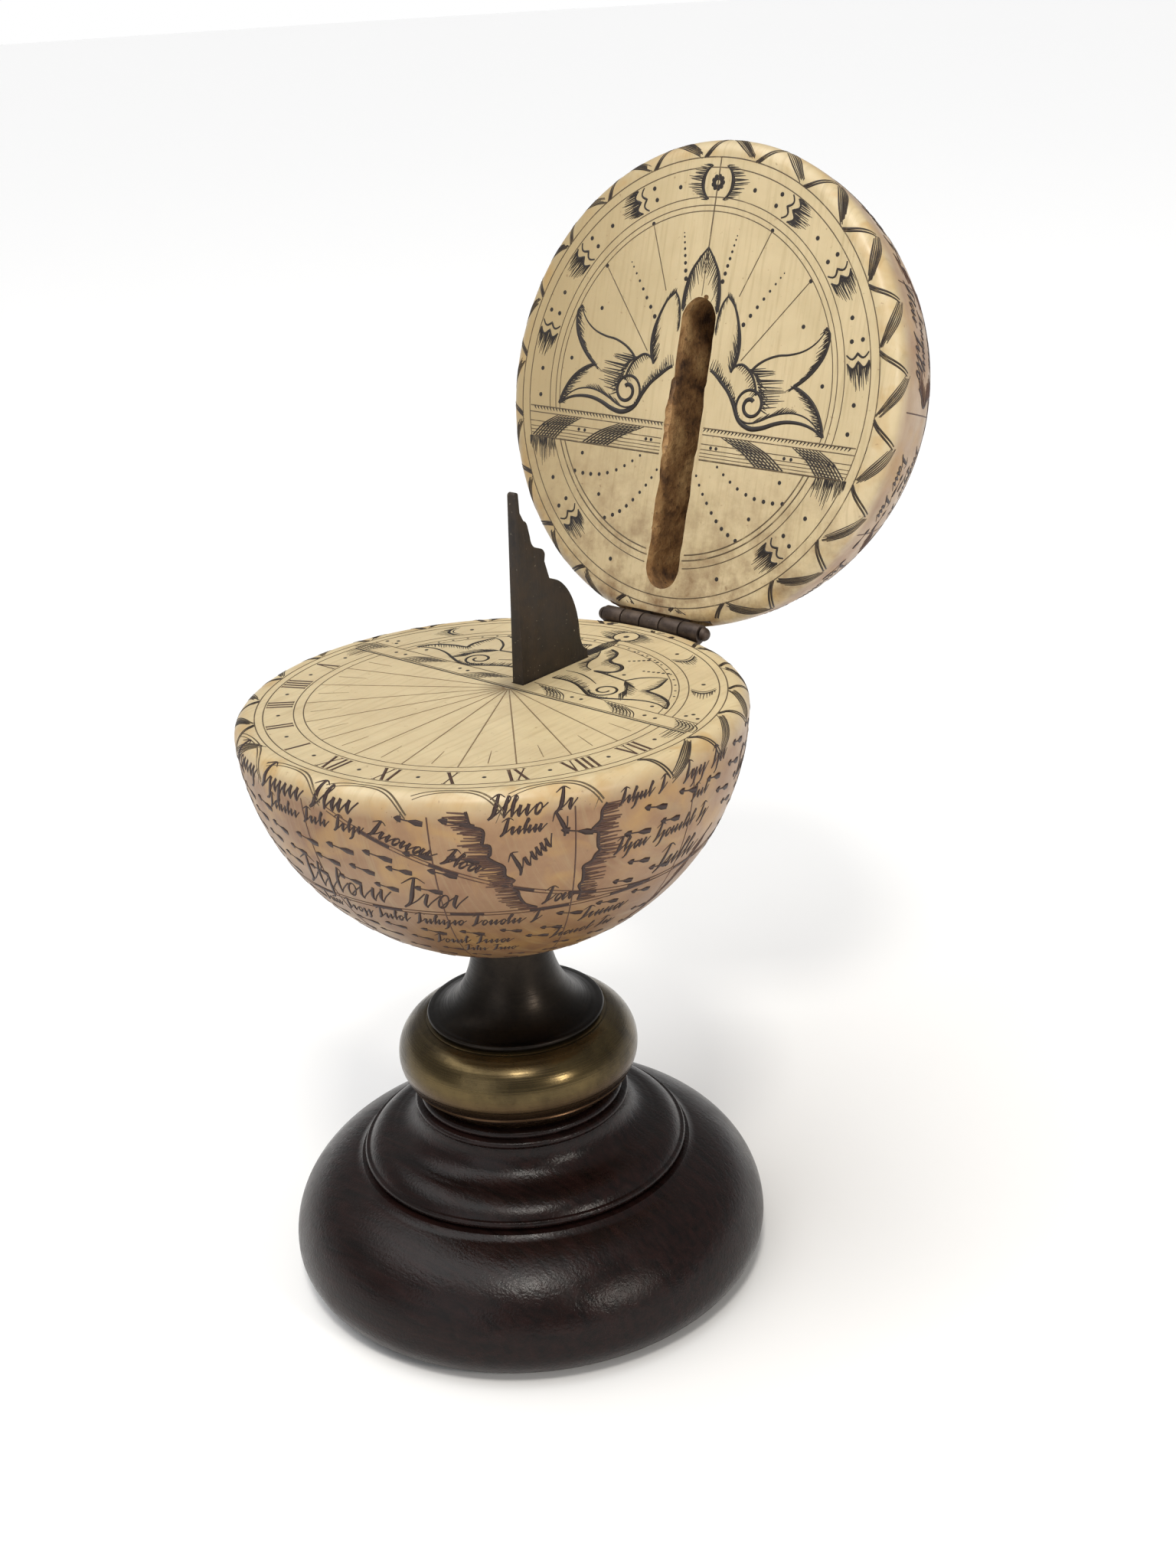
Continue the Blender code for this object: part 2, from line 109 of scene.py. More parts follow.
def makeBone(name, toClosed, isLid):
    # polished bone: cream, close and waxy, with grain streaks, tan mottling and honey patches from handling
    look = {
        # painted shade: the lid's face and cream are set a little darker than the dial's
        "face": "B9A781" if isLid else "BCAA85", "cream": "C6B48F" if isLid else "CAB992",
        "streak": "9C8862", "honey": "A98345",
        # painted shade: on the lower half, peach, tan and low are darker than the lid's, for the shade under
        # the globe
        "peach": "A98F6F" if isLid else "997955", "tan": "8E6E52" if isLid else "7C583A",
        "low": "7A5C44" if isLid else "604127", "stainAndShade": "735535", "footDarkGrey": "3C2E20",
        "mottleSize": 7.0, "streakWidth": 0.45, "streakLength": 9.0, "pitSize": 0.55,
        "roughness": 0.36,
    }
    material, tree, shader = newMaterial(name)
    place = addNode(tree, "ShaderNodeTexCoord").outputs["Object"]
    if isLid:      # the pattern lies as if the globe were closed
        shift = toClosed.to_translation() * mm
        place = addNode(tree, "ShaderNodeMapping", inputs={
            "Vector": place, "Location": shift, "Rotation": toClosed.to_euler()}).outputs[0]
    split = addNode(tree, "ShaderNodeSeparateXYZ", inputs={0: place})
    fromAxis = addNode(tree, "ShaderNodeVectorMath", {"operation": "MULTIPLY"},
                       {0: place, 1: (1.0, 1.0, 0.0)}).outputs[0]
    radius = addNode(tree, "ShaderNodeVectorMath", {"operation": "LENGTH"}, {0: fromAxis}).outputs["Value"]
    mottle = addNode(tree, "ShaderNodeTexNoise", inputs={
        "Vector": place, "Scale": 1 / (look["mottleSize"] * mm), "Detail": 5.0, "Roughness": 0.6}).outputs[0]
    across, along = 1 / (look["streakWidth"] * mm), 1 / (look["streakLength"] * mm)
    stretched = addNode(tree, "ShaderNodeMapping", inputs={
        "Vector": place, "Scale": (across, along, along)}).outputs[0]
    streaks = addNode(tree, "ShaderNodeTexNoise", inputs={
        "Vector": stretched, "Scale": 1.0, "Detail": 4.0, "Roughness": 0.62}).outputs["Fac"]
    pits = addNode(tree, "ShaderNodeTexNoise", inputs={
        "Vector": place, "Scale": 1 / (look["pitSize"] * mm), "Detail": 3.0}).outputs["Fac"]
    # face against outside, from the height
    outside = addNode(tree, "ShaderNodeMapRange", inputs={
        "Value": split.outputs["Z"],
        "From Min": (faceHeight + (1.3 if isLid else 0.1)) * mm,
        "From Max": (faceHeight + (3.4 if isLid else -2.6)) * mm}).outputs[0]
    # painted shade on the lower half: the colour darkens towards the bottom, under the globe
    under = addNode(tree, "ShaderNodeMapRange", inputs={
        "Value": split.outputs["Z"],
        "From Min": (faceHeight + (12.0 if isLid else -10.0)) * mm,
        "From Max": (faceHeight + (27.0 if isLid else -24.0)) * mm}).outputs[0]
    rimBand = addNode(tree, "ShaderNodeMapRange", inputs={
        "Value": radius, "From Min": 22.9 * mm, "From Max": 23.8 * mm}).outputs[0]
    cream = addNode(tree, "ShaderNodeMix", rgb, {
        0: addNode(tree, "ShaderNodeMapRange", inputs={
            "Value": mottle, "From Min": 0.35, "From Max": 0.68}).outputs[0],
        6: linear(look["cream"]), 7: linear(look["face"])}).outputs[2]
    if isLid:      # greyer on the side that lies away from the light
        away = addNode(tree, "ShaderNodeMapRange", inputs={
            "Value": split.outputs["X"], "From Min": -2.0 * mm, "From Max": -20.0 * mm,
            "To Max": 0.8}).outputs[0]
        cream = addNode(tree, "ShaderNodeMix", rgb, {0: away, 6: cream, 7: linear(look["streak"])}).outputs[2]
    body = addNode(tree, "ShaderNodeMix", rgb, {
        0: addNode(tree, "ShaderNodeMapRange", inputs={
            "Value": mottle, "From Min": 0.3, "From Max": 0.7}).outputs[0],
        6: linear(look["peach"]), 7: linear(look["tan"])}).outputs[2]
    body = addNode(tree, "ShaderNodeMix", rgb, {0: under, 6: body, 7: linear(look["low"])}).outputs[2]
    colour = addNode(tree, "ShaderNodeMix", rgb, {0: outside, 6: cream, 7: body}).outputs[2]
    streakShare = addNode(tree, "ShaderNodeMapRange", inputs={
        "Value": streaks, "From Min": 0.5, "From Max": 0.78, "To Max": 0.55}).outputs[0]
    colour = addNode(tree, "ShaderNodeMix", rgb, {
        0: streakShare, 6: colour, 7: linear(look["streak"])}).outputs[2]
    # honey patches on the rim, and low on the globe
    patches = addNode(tree, "ShaderNodeTexNoise", inputs={
        "Vector": place, "Scale": 1 / (4.2 * mm), "Detail": 3.0, "Distortion": 0.6}).outputs["Fac"]
    patchShare = addNode(tree, "ShaderNodeMapRange", inputs={
        "Value": patches, "From Min": 0.48, "From Max": 0.66}).outputs[0]
    onRim, lowDown = (addNode(tree, "ShaderNodeMath", times, {0: where, 1: 0.5}).outputs[0]
                      for where in (rimBand, under))
    whereHoney = addNode(tree, "ShaderNodeMath", {"operation": "MAXIMUM", "use_clamp": True}, {
        0: onRim, 1: lowDown}).outputs[0]
    colour = addNode(tree, "ShaderNodeMix", rgb, {
        0: addNode(tree, "ShaderNodeMath", times, {0: patchShare, 1: whereHoney}).outputs[0],
        6: colour, 7: linear(look["honey"])}).outputs[2]
    # brown stains by the hinge on the lid; on the lower half, blots under the globe that are partly stain and
    # partly painted shade
    if isLid:
        stainAndShadeMask = addNode(tree, "ShaderNodeMapRange", inputs={
            "Value": split.outputs["Y"], "From Min": 3.0 * mm, "From Max": 24.0 * mm,
            "To Max": 0.95}).outputs[0]
    else:
        stainAndShadeMask = addNode(tree, "ShaderNodeMath", times, {0: under, 1: 0.7}).outputs[0]
    blots = addNode(tree, "ShaderNodeTexNoise", inputs={
        "Vector": place, "Scale": 1 / (3.0 * mm), "Detail": 6.0, "Roughness": 0.7}).outputs["Fac"]
    blotShare = addNode(tree, "ShaderNodeMapRange", inputs={
        "Value": blots, "From Min": 0.42, "From Max": 0.7}).outputs[0]
    colour = addNode(tree, "ShaderNodeMix", rgb, {
        0: addNode(tree, "ShaderNodeMath", times, {0: blotShare, 1: stainAndShadeMask}).outputs[0],
        6: colour, 7: linear(look["stainAndShade"])}).outputs[2]
    # soot rubbed into the pits
    pitShare = addNode(tree, "ShaderNodeMapRange", inputs={
        "Value": pits, "From Min": 0.69, "From Max": 0.76, "To Max": 0.5}).outputs[0]
    colour = addNode(tree, "ShaderNodeMix", rgb, {0: pitShare, 6: colour, 7: linear(look["stainAndShade"])}).outputs[2]
    if not isLid:      # darker grey patch round the gnomon's front foot, where it meets the dial
        fromFoot = addNode(tree, "ShaderNodeVectorMath", {"operation": "DISTANCE"}, {
            0: place, 1: (0.0, 3.0 * mm, faceHeight * mm)}).outputs["Value"]
        footPatch = addNode(tree, "ShaderNodeMapRange", inputs={
            "Value": fromFoot, "From Min": 3.6 * mm, "From Max": 0.6 * mm, "To Max": 0.6}).outputs[0]
        colour = addNode(tree, "ShaderNodeMix", rgb, {0: footPatch, 6: colour, 7: linear(look["footDarkGrey"])}).outputs[2]
    tree.links.new(colour, shader.inputs["Base Color"])
    gloss = addNode(tree, "ShaderNodeMapRange", inputs={
        "Value": mottle, "From Min": 0.3, "From Max": 0.7,
        "To Min": look["roughness"] - 0.06, "To Max": look["roughness"] + 0.14}).outputs[0]
    tree.links.new(gloss, shader.inputs["Roughness"])
    bump = addNode(tree, "ShaderNodeBump", inputs={
        "Height": addNode(tree, "ShaderNodeMath", plus, {0: streaks, 1: pits}).outputs[0],
        "Strength": 0.18, "Distance": 0.05 * mm}).outputs[0]
    tree.links.new(bump, shader.inputs["Normal"])
    shader.inputs["IOR"].default_value = 1.54
    shader.inputs["Subsurface Weight"].default_value = 0.1
    shader.inputs["Subsurface Radius"].default_value = (1.0, 0.55, 0.3)
    shader.inputs["Subsurface Scale"].default_value = 0.9 * mm
    return material


def makePocketBone(name):
    # chiselled bone left unpolished: open brown pores, soaked with dirt, darker in the hollows
    look = {"light": "C29E6C", "brown": "8E6A42", "dark": "3E2A1C", "poreSize": 0.7, "soakSize": 3.2}
    material, tree, shader = newMaterial(name)
    place = addNode(tree, "ShaderNodeTexCoord").outputs["Object"]
    soak = addNode(tree, "ShaderNodeTexNoise", inputs={
        "Vector": place, "Scale": 1 / (look["soakSize"] * mm), "Detail": 6.0, "Roughness": 0.65}).outputs["Fac"]
    pores = addNode(tree, "ShaderNodeTexNoise", inputs={
        "Vector": place, "Scale": 1 / (look["poreSize"] * mm), "Detail": 5.0, "Roughness": 0.7}).outputs["Fac"]
    colour = addNode(tree, "ShaderNodeValToRGB", inputs={"Fac": soak}, stops=[
        (0.34, linear(look["dark"])), (0.5, linear(look["brown"])), (0.7, linear(look["light"]))]).outputs[0]
    poreShare = addNode(tree, "ShaderNodeMapRange", inputs={
        "Value": pores, "From Min": 0.55, "From Max": 0.7, "To Max": 0.8}).outputs[0]
    colour = addNode(tree, "ShaderNodeMix", rgb, {0: poreShare, 6: colour, 7: linear(look["dark"])}).outputs[2]
    tree.links.new(colour, shader.inputs["Base Color"])
    shader.inputs["Roughness"].default_value = 0.75
    bump = addNode(tree, "ShaderNodeBump", inputs={
        "Height": addNode(tree, "ShaderNodeMath", plus, {0: soak, 1: pores}).outputs[0],
        "Strength": 0.7, "Distance": 0.25 * mm}).outputs[0]
    tree.links.new(bump, shader.inputs["Normal"])
    return material


def makeInk(name, dark, worn, wear):
    # lamp black and oil rubbed into engraved lines: matt, brown where it has worn thin
    material, tree, shader = newMaterial(name)
    place = addNode(tree, "ShaderNodeTexCoord").outputs["Object"]
    rub = addNode(tree, "ShaderNodeTexNoise", inputs={
        "Vector": place, "Scale": 1 / (1.6 * mm), "Detail": 5.0, "Roughness": 0.7}).outputs["Fac"]
    share = addNode(tree, "ShaderNodeMapRange", inputs={
        "Value": rub, "From Min": 0.62 - wear, "From Max": 0.86 - wear}).outputs[0]
    colour = addNode(tree, "ShaderNodeMix", rgb, {0: share, 6: linear(dark), 7: linear(worn)}).outputs[2]
    tree.links.new(colour, shader.inputs["Base Color"])
    shader.inputs["Roughness"].default_value = 0.55
    return material


def makeBrass(name, look):
    # turned brass under an old patina: olive brown, rubbed bright on the proud edges, fine turning lines
    material, tree, shader = newMaterial(name)
    place = addNode(tree, "ShaderNodeTexCoord").outputs["Object"]
    split = addNode(tree, "ShaderNodeSeparateXYZ", inputs={0: place})
    clouds = addNode(tree, "ShaderNodeTexNoise", inputs={
        "Vector": place, "Scale": 1 / (look["cloudSize"] * mm), "Detail": 6.0, "Roughness": 0.62}).outputs[0]
    turning = addNode(tree, "ShaderNodeTexNoise", {"noise_dimensions": "1D"}, {
        "W": addNode(tree, "ShaderNodeMath", times, {
            0: split.outputs["Z"], 1: 1 / (look["lineSpacing"] * mm)}).outputs[0],
        "Scale": 1.0, "Detail": 3.0}).outputs["Fac"]
    specks = addNode(tree, "ShaderNodeTexNoise", inputs={
        "Vector": place, "Scale": 1 / (0.35 * mm), "Detail": 4.0, "Roughness": 0.8}).outputs["Fac"]
    share = addNode(tree, "ShaderNodeMapRange", inputs={
        "Value": clouds, "From Min": 0.34, "From Max": 0.66}).outputs[0]
    colour = addNode(tree, "ShaderNodeMix", rgb, {
        0: share, 6: linear(look["bright"]), 7: linear(look["patina"])}).outputs[2]
    speckShare = addNode(tree, "ShaderNodeMapRange", inputs={
        "Value": specks, "From Min": 0.6, "From Max": 0.72, "To Max": 0.7}).outputs[0]
    colour = addNode(tree, "ShaderNodeMix", rgb, {0: speckShare, 6: colour, 7: linear(look["dirt"])}).outputs[2]
    if "low" in look:      # painted reflection: darker and warmer lower down, standing in for the dark surroundings the lower half reflects
        paintedReflectionShare = addNode(tree, "ShaderNodeMapRange", inputs={
            "Value": split.outputs["Z"], "From Min": look["lowFrom"] * mm, "From Max": look["lowTo"] * mm,
            "To Max": 0.75}).outputs[0]
        colour = addNode(tree, "ShaderNodeMix", rgb, {
            0: paintedReflectionShare, 6: colour, 7: linear(look["low"])}).outputs[2]
    tree.links.new(colour, shader.inputs["Base Color"])
    shader.inputs["Metallic"].default_value = look["metallic"]
    rough = addNode(tree, "ShaderNodeMapRange", inputs={
        "Value": addNode(tree, "ShaderNodeMath", times, {0: clouds, 1: turning}).outputs[0],
        "From Min": 0.15, "From Max": 0.4,
        "To Min": look["roughness"] - 0.07, "To Max": look["roughness"] + 0.13}).outputs[0]
    tree.links.new(rough, shader.inputs["Roughness"])
    bump = addNode(tree, "ShaderNodeBump", inputs={
        "Height": addNode(tree, "ShaderNodeMath", plus, {0: turning, 1: specks}).outputs[0],
        "Strength": 0.22, "Distance": 0.03 * mm}).outputs[0]
    tree.links.new(bump, shader.inputs["Normal"])
    return material


def makeWood(name):
    # blackened and waxed hardwood: satin, faint reddish grain, pores and dull rubbed scratches
    look = {"black": "0F0908", "red": "20110F", "wax": "2B201D", "grainWidth": 0.8, "grainLength": 14.0,
            "poreSize": 0.3, "roughness": 0.24}
    material, tree, shader = newMaterial(name)
    place = addNode(tree, "ShaderNodeTexCoord").outputs["Object"]
    along, across = 1 / (look["grainLength"] * mm), 1 / (look["grainWidth"] * mm)
    stretched = addNode(tree, "ShaderNodeMapping", inputs={
        "Vector": place, "Scale": (along, across, across)}).outputs[0]
    grain = addNode(tree, "ShaderNodeTexNoise", inputs={
        "Vector": stretched, "Scale": 1.0, "Detail": 5.0, "Roughness": 0.6, "Distortion": 0.4}).outputs["Fac"]
    bloom = addNode(tree, "ShaderNodeTexNoise", inputs={
        "Vector": place, "Scale": 1 / (6.0 * mm), "Detail": 7.0, "Roughness": 0.72}).outputs["Fac"]
    pores = addNode(tree, "ShaderNodeTexNoise", inputs={
        "Vector": place, "Scale": 1 / (look["poreSize"] * mm), "Detail": 2.0, "Roughness": 0.6}).outputs["Fac"]
    colour = addNode(tree, "ShaderNodeMix", rgb, {
        0: addNode(tree, "ShaderNodeMapRange", inputs={
            "Value": grain, "From Min": 0.35, "From Max": 0.7}).outputs[0],
        6: linear(look["black"]), 7: linear(look["red"])}).outputs[2]
    waxShare = addNode(tree, "ShaderNodeMapRange", inputs={
        "Value": bloom, "From Min": 0.56, "From Max": 0.8, "To Max": 0.5}).outputs[0]
    colour = addNode(tree, "ShaderNodeMix", rgb, {0: waxShare, 6: colour, 7: linear(look["wax"])}).outputs[2]
    tree.links.new(colour, shader.inputs["Base Color"])
    rough = addNode(tree, "ShaderNodeMapRange", inputs={
        "Value": bloom, "From Min": 0.3, "From Max": 0.7,
        "To Min": look["roughness"] - 0.06, "To Max": look["roughness"] + 0.16}).outputs[0]
    tree.links.new(rough, shader.inputs["Roughness"])
    relief = addNode(tree, "ShaderNodeMath", {"operation": "MULTIPLY_ADD"}, {
        0: pores, 1: 0.8, 2: grain}).outputs[0]
    bump = addNode(tree, "ShaderNodeBump", inputs={
        "Height": relief, "Strength": 0.5, "Distance": 0.08 * mm}).outputs[0]
    tree.links.new(bump, shader.inputs["Normal"])
    shader.inputs["Specular IOR Level"].default_value = 0.2
    return material


def makeIron(name, look):
    # browned sheet iron: near black, dull, with file marks, and small bright specks that are painted glints
    material, tree, shader = newMaterial(name)
    place = addNode(tree, "ShaderNodeTexCoord").outputs["Object"]
    clouds = addNode(tree, "ShaderNodeTexNoise", inputs={
        "Vector": place, "Scale": 1 / (2.6 * mm), "Detail": 6.0, "Roughness": 0.7}).outputs["Fac"]
    stretched = addNode(tree, "ShaderNodeMapping", inputs={"Vector": place, "Scale": (
        1 / (0.25 * mm), 1 / (0.25 * mm), 1 / (5.0 * mm))}).outputs[0]
    filing = addNode(tree, "ShaderNodeTexNoise", inputs={
        "Vector": stretched, "Scale": 1.0, "Detail": 3.0}).outputs["Fac"]
    specks = addNode(tree, "ShaderNodeTexNoise", inputs={
        "Vector": place, "Scale": 1 / (0.28 * mm), "Detail": 2.0, "Roughness": 0.5}).outputs["Fac"]
    colour = addNode(tree, "ShaderNodeMix", rgb, {
        0: addNode(tree, "ShaderNodeMapRange", inputs={
            "Value": clouds, "From Min": 0.35, "From Max": 0.65}).outputs[0],
        6: linear(look["dark"]), 7: linear(look["brown"])}).outputs[2]
    # painted glints: small bright specks scattered over the dark iron
    speckShare = addNode(tree, "ShaderNodeMapRange", inputs={
        "Value": specks, "From Min": 0.7, "From Max": 0.76, "To Max": 0.8}).outputs[0]
    colour = addNode(tree, "ShaderNodeMix", rgb, {
        0: speckShare, 6: colour, 7: linear(look["glintSpeck"])}).outputs[2]
    tree.links.new(colour, shader.inputs["Base Color"])
    shader.inputs["Metallic"].default_value = look["metallic"]
    rough = addNode(tree, "ShaderNodeMapRange", inputs={
        "Value": clouds, "From Min": 0.3, "From Max": 0.7, "To Min": 0.42, "To Max": 0.62}).outputs[0]
    tree.links.new(rough, shader.inputs["Roughness"])
    bump = addNode(tree, "ShaderNodeBump", inputs={
        "Height": addNode(tree, "ShaderNodeMath", plus, {0: filing, 1: clouds}).outputs[0],
        "Strength": 0.4, "Distance": 0.06 * mm}).outputs[0]
    tree.links.new(bump, shader.inputs["Normal"])
    return material


dialBone = makeBone("polishedBoneDial", Matrix.Identity(4), False)
lidBone = makeBone("polishedBoneLid", openLid.inverted(), True)
pocketBone = makePocketBone("rawBonePocket")
blackInk = makeInk("rubbedLampBlack", "1E1611", "6B5940", 0.0)
thinInk = makeInk("thinRubbedInk", "54452F", "A38F69", 0.08)
numeralInk = makeInk("brownRubbedInk", "41291C", "8A6C4C", 0.05)
mapInk = makeInk("purpleBrownInk", "2C1710", "6E4A36", 0.02)
knopBrass = makeBrass("turnedBrassRubbed", {
    "bright": "5F5135", "patina": "3A3121", "dirt": "1C1710", "low": "4E3727", "lowFrom": 25.4, "lowTo": 23.4,
    "cloudSize": 5.0, "lineSpacing": 0.18, "roughness": 0.25, "metallic": 0.9})
coneBrass = makeBrass("turnedBrassDark", {
    "bright": "27211B", "patina": "171310", "dirt": "0C0A08", "cloudSize": 3.5, "lineSpacing": 0.16,
    "roughness": 0.36, "metallic": 0.85})
ferruleBrass = makeBrass("turnedBrassFerrule", {
    "bright": "8F7F52", "patina": "5A4D30", "dirt": "2C2417", "cloudSize": 2.0, "lineSpacing": 0.2,
    "roughness": 0.35, "metallic": 0.9})
waxedWood = makeWood("blackenedWaxedHardwood")
gnomonIron = makeIron("brownedSheetIron", {
    "dark": "2A2623", "brown": "40352B", "glintSpeck": "8C8272", "metallic": 0.55})
hingeIron = makeIron("brownedHingeIron", {
    "dark": "362C27", "brown": "5E5045", "glintSpeck": "8C8272", "metallic": 0.6})
print("materials made")


def arcPoints(centre, radii, start, end, count):
    steps = [radians(start + (end - start) * i / (count - 1)) for i in range(count)]
    return [(centre[0] + radii[0] * cos(t), centre[1] + radii[1] * sin(t)) for t in steps]


def turnProfile(profile, segments, axis=(0, 0, 1), closed=False):
    shape = bmesh.new()
    along = Vector(axis)
    outward = Vector((1, 0, 0)) if along.z else Vector((0, 0, 1))
    points = [shape.verts.new(outward * r + along * h) for r, h in profile]
    edges = [shape.edges.new(pair) for pair in zip(points, points[1:])]
    if closed:
        edges.append(shape.edges.new((points[-1], points[0])))
    bmesh.ops.spin(shape, geom=points + edges, cent=(0, 0, 0), axis=along, angle=2 * pi,
                   steps=segments, use_merge=True)
    bmesh.ops.remove_doubles(shape, verts=shape.verts, dist=1e-5)
    bmesh.ops.recalc_face_normals(shape, faces=shape.faces)
    return shape


def extrudeOutline(outline, axis, low, high):
    # outline points are (y, z) for axis 0 and (x, y) for axis 2
    shape = bmesh.new()
    if axis == 0:
        corners = [(low, a, b) for a, b in outline]
    else:
        corners = [(a, b, low) for a, b in outline]
    face = shape.faces.new([shape.verts.new(corner) for corner in corners])
    moved = [part for part in bmesh.ops.extrude_face_region(shape, geom=[face])["geom"]
             if isinstance(part, bmesh.types.BMVert)]
    step = [0, 0, 0]
    step[axis] = high - low
    bmesh.ops.translate(shape, vec=step, verts=moved)
    bmesh.ops.recalc_face_normals(shape, faces=shape.faces)
    return shape


def toObject(name, shape, material, move=None):
    if move:
        bmesh.ops.transform(shape, matrix=move, verts=shape.verts)
    bmesh.ops.scale(shape, vec=(mm, mm, mm), verts=shape.verts)
    mesh = bpy.data.meshes.new(name)
    shape.to_mesh(mesh)
    shape.free()
    mesh.materials.append(material)
    shadeSmooth(mesh)
    item = bpy.data.objects.new(name, mesh)
    bpy.context.scene.collection.objects.link(item)
    return item


def shadeSmooth(mesh, sharpFrom=38):
    mesh.shade_smooth()
    mesh.set_sharp_from_angle(angle=radians(sharpFrom))


def applyModifiers(item):
    graph = bpy.context.evaluated_depsgraph_get()
    mesh = bpy.data.meshes.new_from_object(item.evaluated_get(graph))
    item.modifiers.clear()
    item.data = mesh
    shadeSmooth(mesh)
    return item


def carve(item, cutters, operation="DIFFERENCE"):
    for cutter in cutters:
        modifier = item.modifiers.new(cutter.name, "BOOLEAN")
        modifier.operation = operation
        modifier.solver = "EXACT"
        modifier.material_mode = "TRANSFER"
        modifier.object = cutter
    applyModifiers(item)
    for cutter in cutters:
        bpy.data.objects.remove(cutter)
    return item


def attach(item, body, replaced=()):
    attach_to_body(item, body)
    if replaced:
        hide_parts(*replaced)
    return item


def roughen(shape, amount, size, seed, keep=None):
    # pushes the points about by smooth noise, as far as the amount, except where keep says not to
    for vertex in shape.verts:
        if keep and keep(vertex.co):
            continue
        push = noise.noise_vector(vertex.co / size + Vector((seed, seed, seed)))
        vertex.co += push * amount


def bevelEnds(shape, offset):
    # softens the edges round both flat ends of a shape that was extruded along x
    sides = [edge for edge in shape.edges if abs(edge.verts[0].co.x - edge.verts[1].co.x) < 1e-6]
    bmesh.ops.bevel(shape, geom=sides, offset=offset, offset_type="OFFSET", segments=2, profile=0.5,
                    affect="EDGES", material=-1)


stand = {      # radii, and depths below the dial face
    "segments": 160, "bore": 2.3, "neck": 3.9, "coneRadius": 9.3, "coneBottom": 35.1, "knopBottom": 43.6,
    "mouldingBottom": 51.1, "mouldingRadius": 17.3, "plinthRadius": 25.5, "footRadius": 21.9, "seam": 0.15,
}


def fromDepth(points):
    return [(r, faceHeight - depth) for r, depth in points]


def coneProfile():
    dish = globe["radius"] + 0.25
    seat = [(r, sqrt(dish ** 2 - r ** 2) - globe["centre"]) for r in (stand["bore"], 3.2, stand["neck"])]
    top = seat[-1][1] + 0.25
    spread = stand["coneRadius"] - stand["neck"]
    drop = stand["coneBottom"] - 0.5 - top
    flare = [(stand["neck"] + 0.15 + (spread - 0.15) * (1 - cos(t)), top + drop * sin(t))
             for t in (radians(90) * i / 28 for i in range(27))]
    lip = arcPoints((stand["coneRadius"] - 0.3, stand["coneBottom"] - 0.3), (0.3, 0.3), -65, 60, 8)
    return fromDepth(seat + flare + lip + [(stand["coneRadius"] - 0.4, stand["coneBottom"]),
                                           (stand["bore"], stand["coneBottom"])])


def knopProfile():
    top = stand["coneBottom"] + stand["seam"]
    bulb = [(r, -z) for r, z in arcPoints((8.6, -39.3), (4.05, 4.1), 76, -62, 40)]
    line = bulb[-9]      # a fine turned line low on the bulb
    groove = [(line[0] + 0.02, line[1] - 0.16), (line[0] - 0.16, line[1] - 0.03),
              (line[0] - 0.15, line[1] + 0.04), (line[0] - 0.06, line[1] + 0.15)]
    outline = [(stand["bore"], top), (stand["coneRadius"] + 0.05, top),
               (stand["coneRadius"] + 0.2, top + 0.1)]
    outline += bulb[:-9] + groove + bulb[-7:]
    outline += [(10.0, stand["knopBottom"]), (stand["bore"], stand["knopBottom"])]
    return fromDepth(outline)


def mouldingProfile():
    top = stand["knopBottom"] + stand["seam"]
    outline = [(stand["bore"], top), (10.3, top)]
    outline += arcPoints((10.4, top + 0.4), (0.4, 0.4), -90, 80, 10)
    outline += arcPoints((11.0, top + 1.25), (0.4, 0.4), -80, 90, 10)
    outline += arcPoints((14.2, top + 1.7), (3.1, 3.1), 180, 95, 18)
    outline += arcPoints((14.0, 51.6), (3.2, 3.0), -88, -28, 16)
    radius, bottom = stand["mouldingRadius"], stand["mouldingBottom"]
    outline += arcPoints((radius - 0.45, bottom - 0.55), (0.45, 0.45), -50, 70, 12)
    return fromDepth(outline + [(radius - 0.7, bottom), (stand["bore"], bottom)])


def plinthProfile():
    top = stand["mouldingBottom"] + stand["seam"]
    seatRadius = stand["mouldingRadius"] + 0.4
    middle, crown, boreFloor = 4.0, 15.6, 5.7
    radius, foot = stand["plinthRadius"], stand["footRadius"]
    upper = arcPoints((crown, middle), (radius - crown, 8.8), 75, 0, 40)
    lower = arcPoints((foot - 0.6, middle), (radius - foot + 0.6, middle), 0, -84, 20)[1:]
    outline = [(0, boreFloor), (stand["bore"], boreFloor), (stand["bore"], faceHeight - top),
               (seatRadius, faceHeight - top)]
    return outline + upper + lower + [(foot - 0.4, 0), (0, 0)]


for name, profile, material, slotName, cadNode in (
        ("turned_plinth", plinthProfile(), waxedWood, "dark_wood", "plinth"),
        ("turned_moulding", mouldingProfile(), waxedWood, "dark_wood", "stand_moulding"),
        ("turned_knop", knopProfile(), knopBrass, "aged_brass", "brass_knop"),
        ("turned_cone", coneProfile(), coneBrass, "dark_brass", "brass_cone")):
    isRing = profile[0][0] > 0      # bored through, so the profile closes on itself
    item = toObject(name, turnProfile(profile, stand["segments"], closed=isRing), material)
    attach(item, "stand", [cadNode])
print("stand turned")


def rimTurn(faceZ, side):
    # where the rounded rim meets the ball: its centre, and the turn in degrees
    rise = (faceZ + side * globe["rimRounding"]) - globe["centre"]
    inner = globe["radius"] - globe["rimRounding"]
    rimX = sqrt(inner ** 2 - rise ** 2)
    return rimX, rise, degrees(atan2(rise, rimX))


